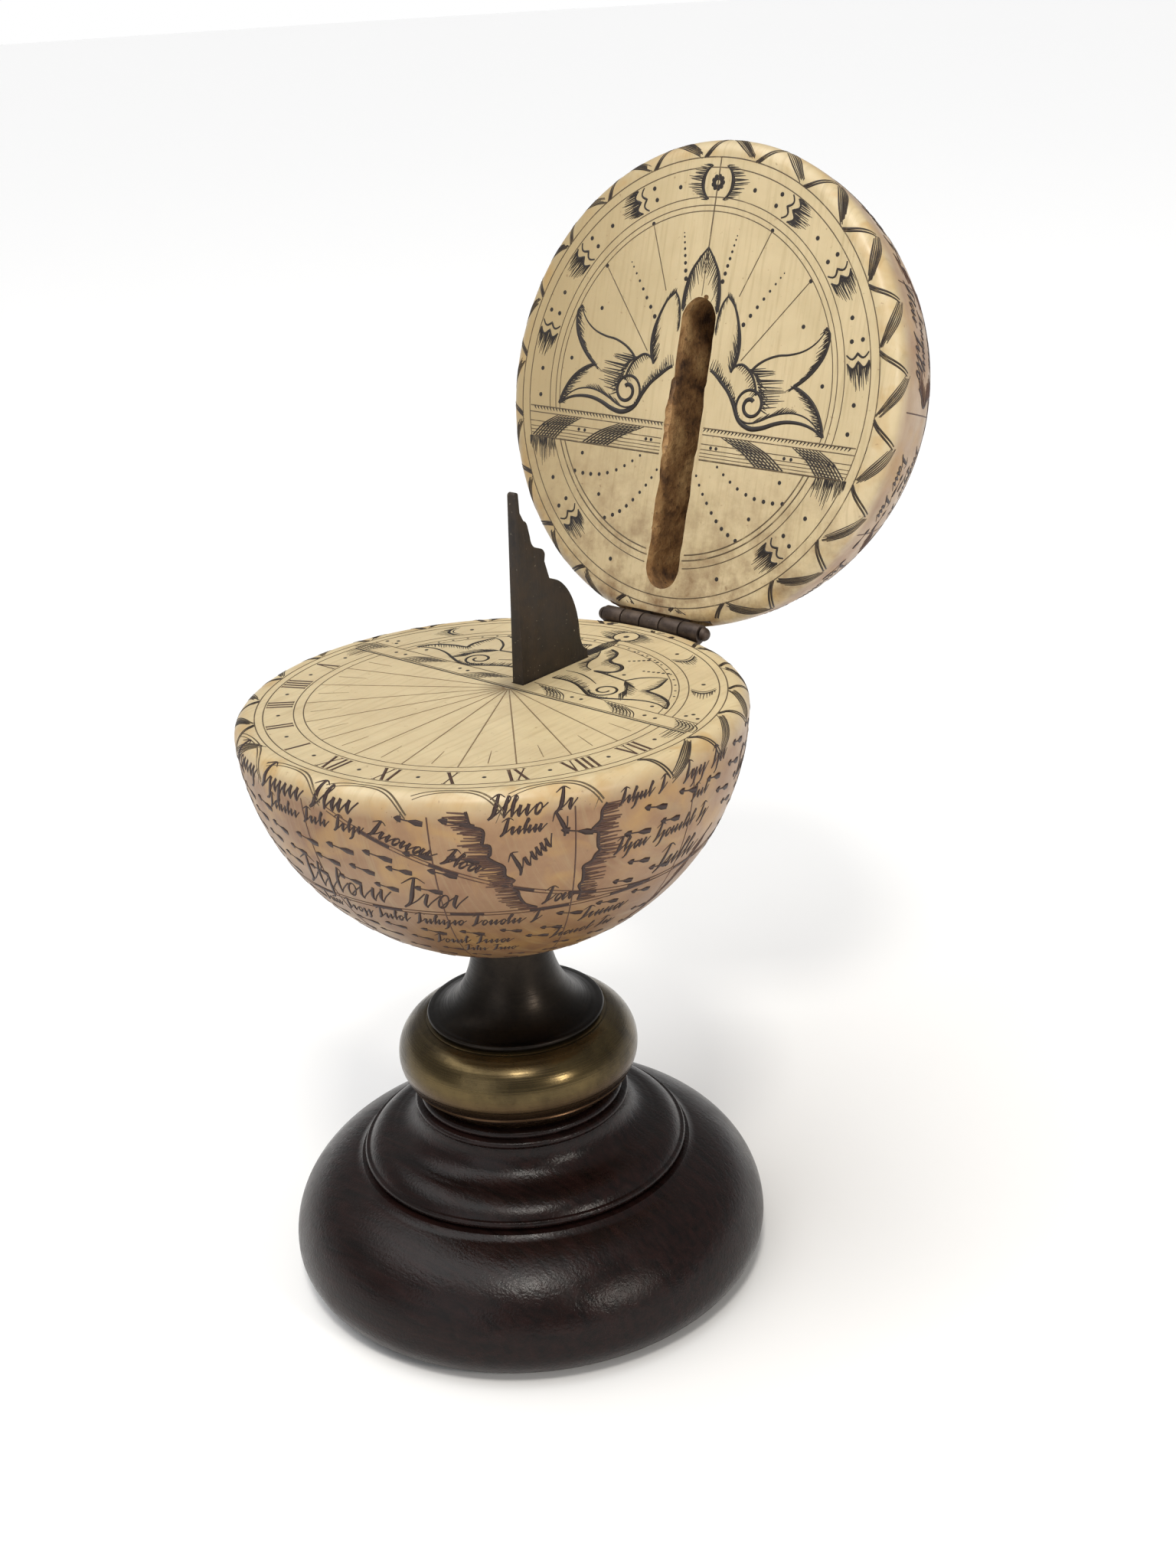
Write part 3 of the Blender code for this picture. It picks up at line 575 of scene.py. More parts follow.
def halfProfile(faceZ, side):
    rimX, rise, turn = rimTurn(faceZ, side)
    rounding = globe["rimRounding"]
    rim = arcPoints((rimX, globe["centre"] + rise), (rounding, rounding), -side * 90, turn, 14)
    ball = arcPoints((0, globe["centre"]), (globe["radius"],) * 2, turn, side * 90, 48)
    ball[-1] = (0, globe["centre"] + side * globe["radius"])
    ring = [(rimX * i / 6, faceZ) for i in range(6)]
    return [(r, z + faceHeight) for r, z in shrink(ring + rim + ball[1:], faceZ, side)]


def shrink(profile, faceZ, side):
    # leaves room for the ink inside the real outline
    share = (globe["radius"] - globe["inkDepth"]) / globe["radius"]
    faceStep = side * globe["inkDepth"] * 0.5
    middle = globe["centre"]
    return [(r * share, middle + (z - middle) * share + (faceStep if abs(z - faceZ) < 1e-6 else 0))
            for r, z in profile]


def leafPoint(side, reach, offset):
    # a point in the leaf's own plane, as (y, z) about the hinge's axis
    slope = radians(hinge["slope"])
    return (-cos(slope) * reach + sin(slope) * offset, side * (sin(slope) * reach + cos(slope) * offset))


def leafOutline(side, start, end, low, high):
    return [leafPoint(side, reach, offset)
            for reach, offset in ((start, low), (end, low), (end, high), (start, high))]


def hingeCutters(side):
    # a round notch for the knuckles and a sawn slot for the leaf
    reach = hinge["length"] / 2 + hinge["headRadius"] + 0.6
    radius = hinge["radius"] + 0.3
    ends = [(0, -reach), (radius - 0.2, -reach), (radius, -reach + 0.2), (radius, reach - 0.2),
            (radius - 0.2, reach), (0, reach)]
    notch = toObject("notch", turnProfile(ends, 48, (1, 0, 0)), pocketBone, Matrix.Translation(hingeAt))
    halfLength = hinge["length"] / 2 + 0.3
    outline = leafOutline(side, 0.2, hinge["leafLength"] + 0.3, hinge["radius"] - hinge["leafThickness"] - 0.3,
                          hinge["radius"] + 0.26)
    slot = toObject("leafSlot", extrudeOutline(outline, 0, -halfLength, halfLength), pocketBone,
                    Matrix.Translation(hingeAt))
    return [notch, slot]


gnomonPlan = {"thickness": 1.4, "thinning": 0.35, "height": 19.3, "front": 3.8, "back": 13.75, "depth": 4.0}
pocket = {"width": 4.4, "farY": -9.1, "nearY": 21.5, "floorRadius": 22.4}


def makeDialHalf():
    item = toObject("dial_half_globe", turnProfile(halfProfile(0.0, -1), globe["segments"]), dialBone)
    play = 0.1
    slotHalf = gnomonPlan["thickness"] / 2 + play
    front, back = gnomonPlan["front"] - play, gnomonPlan["back"] + play
    bottom = -gnomonPlan["depth"] - 0.3
    outline = [(front, 1), (back, 1), (back, bottom), (front, bottom)]
    gnomonSlot = toObject("gnomonSlot", extrudeOutline(outline, 0, -slotHalf, slotHalf), pocketBone,
                          Matrix.Translation((0, 0, faceHeight)))
    ferrule = {"radius": 3.65, "top": -18.1, "below": -29}
    socket = turnProfile([(0, ferrule["below"]), (ferrule["radius"], ferrule["below"]),
                          (ferrule["radius"], ferrule["top"]), (0, ferrule["top"])], 64)
    socketCutter = toObject("socket", socket, pocketBone, Matrix.Translation((0, 0, faceHeight)))
    carve(item, hingeCutters(-1) + [gnomonSlot, socketCutter])
    return attach(item, "dial", ["dial_hemisphere"])


def pocketCutter():
    half = pocket["width"] / 2
    high, low = pocket["nearY"] - half, pocket["farY"] + half
    along, layers, layerHeight, start = 26, 26, 1.1, -2
    outline = arcPoints((0, high), (half, half), 0, 180, 17)
    outline += [(-half, high + (low - high) * i / along) for i in range(1, along)]
    outline += arcPoints((0, low), (half, half), 180, 360, 17)
    outline += [(half, low + (high - low) * i / along) for i in range(1, along)]
    shape = bmesh.new()
    face = shape.faces.new([shape.verts.new((x, y, start)) for x, y in outline])
    for i in range(layers):
        moved = bmesh.ops.extrude_face_region(shape, geom=[face])["geom"]
        if i:      # the face it left behind would be a floor inside the pocket
            bmesh.ops.delete(shape, geom=[face], context="FACES_ONLY")
        face = [part for part in moved if isinstance(part, bmesh.types.BMFace)][0]
        bmesh.ops.translate(shape, vec=(0, 0, layerHeight), verts=face.verts)
    bmesh.ops.recalc_face_normals(shape, faces=shape.faces)
    roughen(shape, 0.22, 1.7, 3.1, keep=lambda at: at.z < -1.5 or at.z > 26.0)      # both ends stay flat
    bmesh.ops.triangulate(shape, faces=shape.faces)      # bent quads would leave the cut uncertain
    walls = toObject("pocketWalls", shape, pocketBone, Matrix.Translation((0, 0, faceHeight)))
    ball = bmesh.new()
    bmesh.ops.create_icosphere(ball, subdivisions=6, radius=pocket["floorRadius"])
    roughen(ball, 0.35, 2.2, 7.7)
    floor = toObject("pocketFloor", ball, pocketBone, Matrix.Translation((0, 0, faceHeight)))
    return carve(walls, [floor], "INTERSECT")


def chipCutters():
    # splinters lost from the pocket's edge
    draw = Random(11)
    chips = [(-2.05, 0.9, 0.42, 1.7), (-2.1, 3.3, 0.55, 2.1), (-2.05, 6.0, 0.42, 1.5), (-2.0, 8.4, 0.25, 0.7),
             (2.0, -0.6, 0.25, 0.7), (-2.0, 11.6, 0.22, 0.45), (-2.0, 15.2, 0.26, 0.4), (0.6, -9.1, 0.3, 0.3)]
    cutters = []
    for number, (x, y, width, length) in enumerate(chips):
        shape = bmesh.new()
        bmesh.ops.create_icosphere(shape, subdivisions=3, radius=1.0)
        bmesh.ops.scale(shape, vec=(width, length, 0.5), verts=shape.verts)
        roughen(shape, 0.12, 0.5, draw.uniform(1, 9))
        at = Matrix.Translation((x, y, faceHeight + globe["faceGap"] + 0.12))
        cutters.append(toObject(f"chip{number}", shape, pocketBone, at))
    return cutters


def makeLidHalf():
    profile = halfProfile(globe["faceGap"], 1)
    item = toObject("lid_half_globe", turnProfile(profile, globe["segments"]), lidBone)
    carve(item, hingeCutters(1) + [pocketCutter()] + chipCutters())
    item.data.transform(openLidMetres)
    return attach(item, "lid", ["lid_hemisphere"])


openLidMetres = Matrix.Scale(mm, 4) @ openLid @ Matrix.Scale(1 / mm, 4)
dialHalf = makeDialHalf()
lidHalf = makeLidHalf()
print("half globes cut:", len(dialHalf.data.polygons), len(lidHalf.data.polygons), "faces")


def gnomonOutline():
    plan = gnomonPlan
    back = plan["back"]
    outline = [(back, -plan["depth"]), (back, 0.9)]
    outline += arcPoints((back, 3.1), (1.0, 2.2), 270, 180, 12)[1:]
    outline += arcPoints((8.6, 3.1), (4.15, 6.5), 0, 86, 26)[1:]
    outline += [(8.3, 11.6)]
    outline += arcPoints((7.6, 12.2), (0.85, 0.85), 5, 80, 9)
    outline += arcPoints((7.6, 14.5), (1.1, 1.35), 255, 180, 9)
    outline += arcPoints((5.5, 15.6), (0.75, 0.75), 10, 70, 8)
    outline += [(5.3, 17.2)]
    outline += arcPoints((4.95, plan["height"] - 0.35), (0.33, 0.33), 20, 170, 9)
    return outline + [(plan["front"], 0.0), (plan["front"], -plan["depth"])]


def makeGnomon():
    plan = gnomonPlan
    half = plan["thickness"] / 2
    shape = extrudeOutline(gnomonOutline(), 0, -half, half)
    bevelEnds(shape, 0.09)
    for vertex in shape.verts:
        vertex.co.x *= 1.0 - plan["thinning"] * max(vertex.co.z, 0.0) / plan["height"]
    item = toObject("shaped_gnomon", shape, gnomonIron, Matrix.Translation((0, 0, faceHeight)))
    return attach(item, "dial", ["gnomon"])


def knuckleOutline(side):
    inner = hinge["radius"] - hinge["leafThickness"]
    opening = degrees(acos(inner / hinge["radius"]))
    base = hinge["slope"] - 90
    outline = arcPoints((0, 0), (hinge["radius"],) * 2, base, base + 360 - opening, 40)
    slope = radians(hinge["slope"])
    overlap = hinge["leafStart"] + 0.6
    outline += [(-cos(slope) * overlap + sin(slope) * offset, -sin(slope) * overlap - cos(slope) * offset)
                for offset in (inner, hinge["radius"])]
    return outline if side < 0 else [(y, -z) for y, z in outline]


def makeLeaf(name, side, knuckles, body, cadNode):
    pitch = hinge["length"] / hinge["count"]
    half = hinge["length"] / 2
    outline = leafOutline(side, hinge["leafStart"], hinge["leafLength"],
                          hinge["radius"] - hinge["leafThickness"] - 0.03, hinge["radius"] + 0.03)
    plate = extrudeOutline(outline, 0, -half, half)
    item = toObject(name, plate, hingeIron, Matrix.Translation(hingeAt))
    parts = []
    for number in knuckles:
        low = -half + number * pitch + hinge["gap"] / 2
        high = low + pitch - hinge["gap"]
        barrel = extrudeOutline(knuckleOutline(side), 0, low, high)
        bevelEnds(barrel, 0.07)
        parts.append(toObject(f"knuckle{number}", barrel, hingeIron, Matrix.Translation(hingeAt)))
    carve(item, parts, "UNION")
    reach = half + 1
    hole = [(0, -reach), (hinge["bore"], -reach), (hinge["bore"], reach), (0, reach)]
    bore = turnProfile(hole, 32, (1, 0, 0))
    carve(item, [toObject("bore", bore, hingeIron, Matrix.Translation(hingeAt))])
    if body == "lid":
        item.data.transform(openLidMetres)
    return attach(item, body, [cadNode])


def makePin():
    half = hinge["length"] / 2 + 0.15
    dome = arcPoints((0, half), (hinge["headRadius"],) * 2, 0, 90, 10)
    dome[-1] = (0, half + hinge["headRadius"])
    side = [(hinge["pinRadius"], half)] + dome
    profile = [(r, -h) for r, h in reversed(side)] + side
    item = toObject("domed_hinge_pin", turnProfile(profile, 40, (1, 0, 0)), hingeIron,
                    Matrix.Translation(hingeAt))
    return attach(item, "dial", ["hinge_pin"])


makeGnomon()
makeLeaf("lower_hinge_barrel", -1, (0, 2, 4), "dial", "lower_hinge_leaf")
makeLeaf("upper_hinge_barrel", 1, (1, 3), "lid", "upper_hinge_leaf")
makePin()
hidden = dict.fromkeys(("stand_screw", "lower_leaf_pin_1", "lower_leaf_pin_2", "upper_leaf_pin_1",
                        "upper_leaf_pin_2"), hingeIron)
hidden["socket_ferrule"] = ferruleBrass
for name, material in hidden.items():      # CAD nodes that stay as they are
    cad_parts[name].data.materials.clear()
    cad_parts[name].data.materials.append(material)
print("gnomon and hinge made")


# lines are drawn flat, then laid on the bone as thin bands of ink
ink = {"flatten": 0.22, "lift": 0.012, "dotSides": 10, "hatchSpread": 1.45, "hatchWeight": 0.84}
big = globe["radius"]
halves = {
    "dial": {"faceZ": 0.0, "side": -1},
    "lid": {"faceZ": globe["faceGap"], "side": 1},
}


def scaled(points, about=(0, 0)):
    return [(about[0] + x * big, about[1] + y * big) for x, y in points]


def polar(angle, radius):
    # degrees, and millimetres from the dial's centre
    return (radius * cos(radians(angle)), radius * sin(radians(angle)))


def newPen(seed, blocked=None):
    return {"lines": [], "dots": [], "draw": Random(seed), "blocked": blocked}


hingeNotch = {"halfLength": 8.1, "from": 23.75}      # where the hinge takes the rim away


def onPocket(x, y):
    half = pocket["width"] / 2 + 0.12
    low, high = -pocket["nearY"] + half, -pocket["farY"] - half
    inPocket = hypot(x, y - min(max(y, low), high)) < half
    return inPocket or (abs(x) < hingeNotch["halfLength"] and y < -hingeNotch["from"])


def onGnomonSlot(x, y):
    margin = 0.15
    inSlot = abs(x) < gnomonPlan["thickness"] / 2 + margin \
        and gnomonPlan["front"] - margin < y < gnomonPlan["back"] + margin
    return inSlot or (abs(x) < hingeNotch["halfLength"] and y > hingeNotch["from"])


def sample(points, step):
    # adds points so that none is further than a step from the next
    out = [points[0]]
    for a, b in zip(points, points[1:]):
        count = max(1, round(hypot(b[0] - a[0], b[1] - a[1]) / step + 0.49))
        out += [(a[0] + (b[0] - a[0]) * i / count, a[1] + (b[1] - a[1]) * i / count)
                for i in range(1, count + 1)]
    return out


def smooth(points, step=0.4):
    # a curve that passes through the points
    first = (2 * points[0][0] - points[1][0], 2 * points[0][1] - points[1][1])
    last = (2 * points[-1][0] - points[-2][0], 2 * points[-1][1] - points[-2][1])
    knots = [first] + list(points) + [last]
    out = []
    for p0, p1, p2, p3 in zip(knots, knots[1:], knots[2:], knots[3:]):
        count = max(2, round(hypot(p2[0] - p1[0], p2[1] - p1[1]) / step + 0.49))
        for i in range(count):
            t = i / count
            out.append(tuple(0.5 * (2 * b + (c - a) * t + (2 * a - 5 * b + 4 * c - d) * t * t
                                    + (3 * b - a - 3 * c + d) * t ** 3)
                             for a, b, c, d in zip(p0, p1, p2, p3)))
    return out + [tuple(points[-1])]


def curve(points):
    # points given as shares of the globe's radius
    return smooth(scaled(points))


def straight(points, step=0.4):
    return sample(scaled(points), step)


def arcLine(centre, radius, start, end, step=0.4):
    count = max(3, round(abs(radians(end - start)) * radius / step))
    return [(centre[0] + radius * cos(t), centre[1] + radius * sin(t))
            for t in (radians(start + (end - start) * i / count) for i in range(count + 1))]


def weigh(weights, t):
    # share of the full width or length at t, from values at the start, the middle and the end
    if t < 0.5:
        return weights[0] + (weights[1] - weights[0]) * t * 2
    return weights[1] + (weights[2] - weights[1]) * (t * 2 - 1)


def drawLine(pen, points, width, weights=(1, 1, 1)):
    count = max(1, len(points) - 1)
    run = []
    for i, point in enumerate(points):
        if pen["blocked"] and pen["blocked"](*point):
            if len(run) > 1:
                pen["lines"].append(run)
            run = []
        else:
            run.append((point[0], point[1], max(0.02, width * weigh(weights, i / count) / 2)))
    if len(run) > 1:
        pen["lines"].append(run)


def drawDot(pen, at, radius):
    if not (pen["blocked"] and pen["blocked"](*at)):
        pen["dots"].append((at[0], at[1], radius))


def drawDots(pen, spots, radius):
    for at in scaled(spots):
        drawDot(pen, at, radius)


def drawHatch(pen, path, length, spacing=0.24, width=0.12, toward=None, weights=(1, 0.85, 0.2),
              reach=(1, 1, 1)):
    # short strokes that start on a path, on its left, or towards one direction
    draw = pen["draw"]
    path = sample(path, 0.1)
    gone, due = 0.0, spacing * 0.5
    total = sum(hypot(b[0] - a[0], b[1] - a[1]) for a, b in zip(path, path[1:]))
    for a, b in zip(path, path[1:]):
        step = hypot(b[0] - a[0], b[1] - a[1])
        gone += step
        if gone < due or step == 0:
            continue
        due += spacing * ink["hatchSpread"] * draw.uniform(0.8, 1.2)
        if toward:
            across = Vector(toward).normalized()
        else:
            turn = atan2(b[1] - a[1], b[0] - a[0]) + pi / 2
            across = Vector((cos(turn), sin(turn)))
        across.rotate(Matrix.Rotation(radians(draw.uniform(-5, 5)), 2))
        far = length * weigh(reach, min(1, gone / total)) * draw.uniform(0.72, 1.1)
        start = Vector(b)
        points = [start, start + across * far * 0.5, start + across * far]
        drawLine(pen, [tuple(p) for p in points], width * ink["hatchWeight"] * draw.uniform(0.8, 1.15), weights)


def mirrorPen(pen):
    pen["lines"] += [[(-x, y, r) for x, y, r in line] for line in pen["lines"]]
    pen["dots"] += [(-x, y, r) for x, y, r in pen["dots"]]


def layOnFace(points, half):
    # flat drawing to face, rounded rim and then globe; height goes along the surface's outward direction
    faceZ, side = half["faceZ"], half["side"]
    rimX, rise, turn = rimTurn(faceZ, side)
    rounding = globe["rimRounding"]
    y = points[:, 1] * (-1 if side > 0 else 1)
    reach = np.hypot(points[:, 0], y)
    angle = np.arctan2(y, points[:, 0])
    rimLength = rounding * radians(90 + side * turn)
    bend = np.clip((reach - rimX) / rounding, 0, rimLength / rounding)
    over = np.clip(reach - rimX - rimLength, 0, None) / globe["radius"]
    latitude = radians(turn) + side * over
    onBall = over > 0
    radial = np.where(onBall, globe["radius"] * np.cos(latitude),
                      np.minimum(reach, rimX) + rounding * np.sin(bend))
    z = np.where(onBall, globe["centre"] + globe["radius"] * np.sin(latitude),
                 faceZ + side * rounding * (1 - np.cos(bend)))
    outward = np.where(onBall, np.cos(latitude), np.sin(bend))
    upward = np.where(onBall, np.sin(latitude), -side * np.cos(bend))
    share = (globe["radius"] - globe["inkDepth"]) / globe["radius"]
    radial = radial * share + outward * points[:, 2]
    flat = reach <= rimX + 1e-6
    z = globe["centre"] + (z - globe["centre"]) * share + upward * points[:, 2] \
        + np.where(flat, side * globe["inkDepth"] * 0.5, 0)
    return np.stack([radial * np.cos(angle), radial * np.sin(angle), z + faceHeight], axis=1)


def layOnGlobe(points, half):
    # x and y are arc lengths east of noon and north of the globe's equator; what passes the rim rolls over it
    side = half["side"]
    rimX, rise, turn = rimTurn(half["faceZ"], side)
    rimLength = globe["rimRounding"] * radians(90 + side * turn)
    reach = rimX + rimLength + side * (points[:, 1] - radians(turn) * globe["radius"])
    angle = points[:, 0] / globe["radius"] - pi / 2
    across = -side * reach * np.sin(angle)
    return layOnFace(np.stack([reach * np.cos(angle), across, points[:, 2]], axis=1), half)


def inkPiece(name, pen, material, body, lay):
    half = halves[body]
    data = bpy.data.curves.new(name, "CURVE")
    data.dimensions, data.twist_mode = "3D", "Z_UP"
    data.bevel_depth, data.bevel_resolution, data.use_fill_caps = 1.0, 0, True
    for line in pen["lines"]:
        spline = data.splines.new("POLY")
        spline.points.add(len(line) - 1)
        spline.points.foreach_set("co", [value for x, y, r in line for value in (x, y, 0.0, 1.0)])
        spline.points.foreach_set("radius", [r for x, y, r in line])
    pencil = bpy.data.objects.new(name, data)
    bpy.context.scene.collection.objects.link(pencil)
    shape = bmesh.new()
    if pen["lines"]:
        shape.from_mesh(bpy.data.meshes.new_from_object(pencil))
    bpy.data.objects.remove(pencil)
    for x, y, r in pen["dots"]:
        bmesh.ops.create_cone(shape, cap_ends=True, segments=ink["dotSides"], radius1=r, radius2=r * 0.45,
                              depth=0.12, matrix=Matrix.Translation((x, y, 0)))
    mesh = bpy.data.meshes.new(name)
    shape.to_mesh(mesh)
    shape.free()
    points = np.empty(len(mesh.vertices) * 3)
    mesh.vertices.foreach_get("co", points)
    points = points.reshape(-1, 3)
    points[:, 2] = np.clip(points[:, 2] * ink["flatten"], -0.02, 0.026) + ink["lift"]
    mesh.vertices.foreach_set("co", lay(points, half).ravel())
    mesh.transform(Matrix.Scale(mm, 4) @ (openLid if body == "lid" else Matrix.Identity(4)))
    mesh.materials.clear()
    mesh.materials.append(material)
    mesh.update()
    item = bpy.data.objects.new(name, mesh)
    bpy.context.scene.collection.objects.link(item)
    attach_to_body(item, body)
    print(name, "has", sum(len(face.vertices) - 2 for face in mesh.polygons), "triangles")
    return item


# zigzag border over the rim: a pair of fine lines out, a band of strokes back to the ring
border = {"units": 22, "ring": 0.919, "outward": 3.1, "lineTurn": 5.0, "bandStrokes": 6}


def drawBorder(linePen, bandPen, first, last, turnSign, offset):
    unit = 360 / border["units"]
    ring = border["ring"] * big
    for k in range(border["units"]):
        start = offset + k * unit
        if not first <= start % 360 <= last:
            continue
        draw = bandPen["draw"]
        out = border["outward"] * draw.uniform(0.9, 1.1)
        for gap in (0.0, 0.72):
            points = [polar(start + turnSign * (gap + border["lineTurn"] * t ** 0.8),
                            ring + out * t * (1 - 0.06 * gap))
                      for t in (0.0, 0.2, 0.4, 0.6, 0.8, 1.0)]
            drawLine(linePen, smooth(points), 0.24, (1.1, 0.9, 0.7))
        for i in range(border["bandStrokes"]):
            spread = i / (border["bandStrokes"] - 1) - 0.5
            points = []
            for t in (0.0, 0.25, 0.5, 0.75, 1.0):
                wide = 1.0 + 0.35 * sin(pi * min(t * 1.25, 1.0))
                angle = start + turnSign * (border["lineTurn"] + 0.5 + (unit - border["lineTurn"] - 0.6) * t)
                points.append(polar(angle, ring + 0.08 + out * (1 - t) + spread * wide * (1 - 0.35 * t)))
            low, high = draw.uniform(0, 0.12), draw.uniform(0.86, 1.0)
            path = smooth(points)
            path = path[int(low * len(path)):max(int(high * len(path)), 3)]
            drawLine(bandPen, path, 0.15 * draw.uniform(0.7, 1.3), (0.6, 1.0, 0.6))


def drawRing(pen, radius, width, start=0, end=360):
    drawLine(pen, arcLine((0, 0), radius * big, start, end), width)


def drawCloud(pen, angle, radius, downSign):
    # two dots, two scalloped lines and a fringe that hangs towards the foot of the face
    at = Vector(polar(angle, radius * big))
    outward = at.normalized()
    down = Vector((outward.y, -outward.x)) * downSign

    def spot(t, n):
        return tuple(at + down * t + outward * n)

    for n in (-0.62, 0.66):
        drawDot(pen, spot(-1.25, n), 0.25)
    for shift, width, swell in ((0.0, 0.26, 0.5), (0.85, 0.3, 0.62)):
        bumps = []
        for low in (-1.3, 0.0):
            bumps += [(shift + swell * sin(pi * i / 6), low + 1.3 * i / 6) for i in range(7)]
        drawLine(pen, sample([spot(t, n) for t, n in bumps], 0.2), width, (0.6, 1, 0.6))
    edge = [spot(0.95 + 0.55 * abs(sin(pi * (n + 1.3) / 1.3)), n)
            for n in (-1.3 + 0.2 * i for i in range(14))]
    drawHatch(pen, edge, 2.3, 0.15, 0.15, toward=down, reach=(0.55, 1.1, 0.6))
    drawHatch(pen, edge, 1.1, 0.14, 0.17, toward=down, reach=(0.8, 1, 0.8))


# rings and cross band as shares of the globe's radius
lidPlan = {"outerRing": 0.919, "innerRing": 0.878, "bandTop": -0.163, "bandFoot": -0.293, "motifs": 0.820}


def drawLid():
    fine, bold, band = newPen(1, onPocket), newPen(2, onPocket), newPen(3, onPocket)
    top, foot = lidPlan["bandTop"], lidPlan["bandFoot"]
    # rings
    drawRing(fine, lidPlan["outerRing"], 0.12)
    drawRing(fine, lidPlan["innerRing"], 0.11)
    for radius, width in ((0.760, 0.1), (0.727, 0.1), (0.704, 0.1)):
        high = degrees(np.arcsin(top / radius))
        low = degrees(np.arcsin(foot / radius))
        drawRing(fine, radius, width, high, 180 - high)
        drawRing(fine, radius - 0.006, width * (1.5 if radius < 0.73 else 1), 180 - low, 360 + low)
    # noon line and the straight lines that radiate from the leaves
    drawLine(fine, straight([(0, lidPlan["outerRing"]), (0, 0.555)]), 0.15)
    drawLine(fine, straight([(0, 0.555), (0, 0.365)]), 0.09)
    right = newPen(4, onPocket)
    rightBold = newPen(5, onPocket)
    for outer, inner in (((0.305, 0.640), (0.19, 0.374)), ((0.526, 0.456), (0.245, 0.122))):
        drawLine(right, straight([outer, inner]), 0.11)
        drawDots(rightBold, [outer], 0.24)
    for outer, inner, count in (((0.136, 0.612), (0.095, 0.428), 8), ((0.394, 0.479), (0.231, 0.265), 8)):
        for i in range(count):
            t = (i / (count - 1)) ** 1.25
            x, y = (outer[0] + (inner[0] - outer[0]) * t, outer[1] + (inner[1] - outer[1]) * t)
            drawDots(rightBold, [(x, y)], 0.09 + 0.17 * i / (count - 1))
    drawDots(rightBold, [(0.524, 0.279), (0.656, 0.058)], 0.24)
    # middle leaf
    leaf = curve([(0, 0.56), (0.034, 0.517), (0.068, 0.462), (0.087, 0.394), (0.092, 0.335), (0.088, 0.29)])
    drawLine(rightBold, leaf, 0.36, (0.5, 1.0, 1.0))
    drawHatch(rightBold, leaf, 1.9, 0.2, 0.15, toward=(-0.30, -0.95), reach=(1.1, 1.0, 0.7))
    drawHatch(rightBold, leaf[4:], 0.9, 0.15, 0.17, toward=(-0.45, 0.9), reach=(0.8, 1.0, 1.0))
    # side leaf
    outer = curve([(0.136, 0.372), (0.177, 0.333), (0.209, 0.262), (0.227, 0.190), (0.224, 0.122),
                   (0.202, 0.072)])
    inner = curve([(0.136, 0.372), (0.115, 0.342), (0.100, 0.290), (0.094, 0.235)])
    drawLine(rightBold, outer, 0.38, (0.5, 1.0, 0.8))
    drawLine(rightBold, inner, 0.26, (0.8, 1.0, 0.4))
    drawHatch(rightBold, outer, 1.9, 0.2, 0.15, toward=(-0.38, 0.92), reach=(0.35, 0.95, 1.15))
    drawHatch(rightBold, outer, 0.85, 0.15, 0.17, toward=(-0.5, 0.8), reach=(0.4, 1.0, 1.0))
    drawHatch(rightBold, inner, 1.0, 0.22, 0.13, toward=(0.25, -0.95), reach=(0.5, 1.0, 0.8))
    # body that runs down into the scroll
    under = curve([(0.090, 0.075), (0.120, 0.061), (0.160, 0.030), (0.204, -0.007), (0.238, -0.052),
                   (0.268, -0.104), (0.300, -0.130), (0.345, -0.142), (0.400, -0.132), (0.455, -0.111),
                   (0.515, -0.097), (0.585, -0.097), (0.645, -0.112), (0.694, -0.140)])
    drawLine(rightBold, under, 0.46, (0.7, 1.15, 0.5))
    drawHatch(rightBold, under[:22], 1.25, 0.2, 0.15, toward=(0.20, 1.0), reach=(1.2, 0.8, 0.3))
    drawHatch(rightBold, under[2:20], 0.7, 0.16, 0.15, toward=(0.5, 0.85), reach=(1.0, 1.0, 0.5))
    over = curve([(0.202, 0.072), (0.222, 0.098), (0.252, 0.108), (0.282, 0.096), (0.312, 0.070),
                  (0.335, 0.030), (0.345, -0.008)])
    drawLine(rightBold, over, 0.32, (0.6, 1.0, 0.8))
    drawHatch(rightBold, over[3:], 1.0, 0.2, 0.14, toward=(-0.65, -0.75), reach=(0.5, 1.0, 1.0))
    # scroll
    turns = [polar(197 - 500 * t, (0.073 - 0.053 * t) * big) for t in (i / 44 for i in range(45))]
    centre = scaled([(0.326, -0.050)])[0]
    drawLine(rightBold, smooth([(centre[0] + x, centre[1] + y) for x, y in turns], 0.3), 0.36, (0.8, 1.0, 1.3))
    lip = curve([(0.258, -0.070), (0.275, -0.104), (0.318, -0.121), (0.368, -0.112), (0.425, -0.086),
                 (0.485, -0.066), (0.545, -0.060), (0.605, -0.072), (0.655, -0.102), (0.694, -0.140)])
    drawLine(rightBold, lip, 0.2, (1.0, 1.0, 0.6))
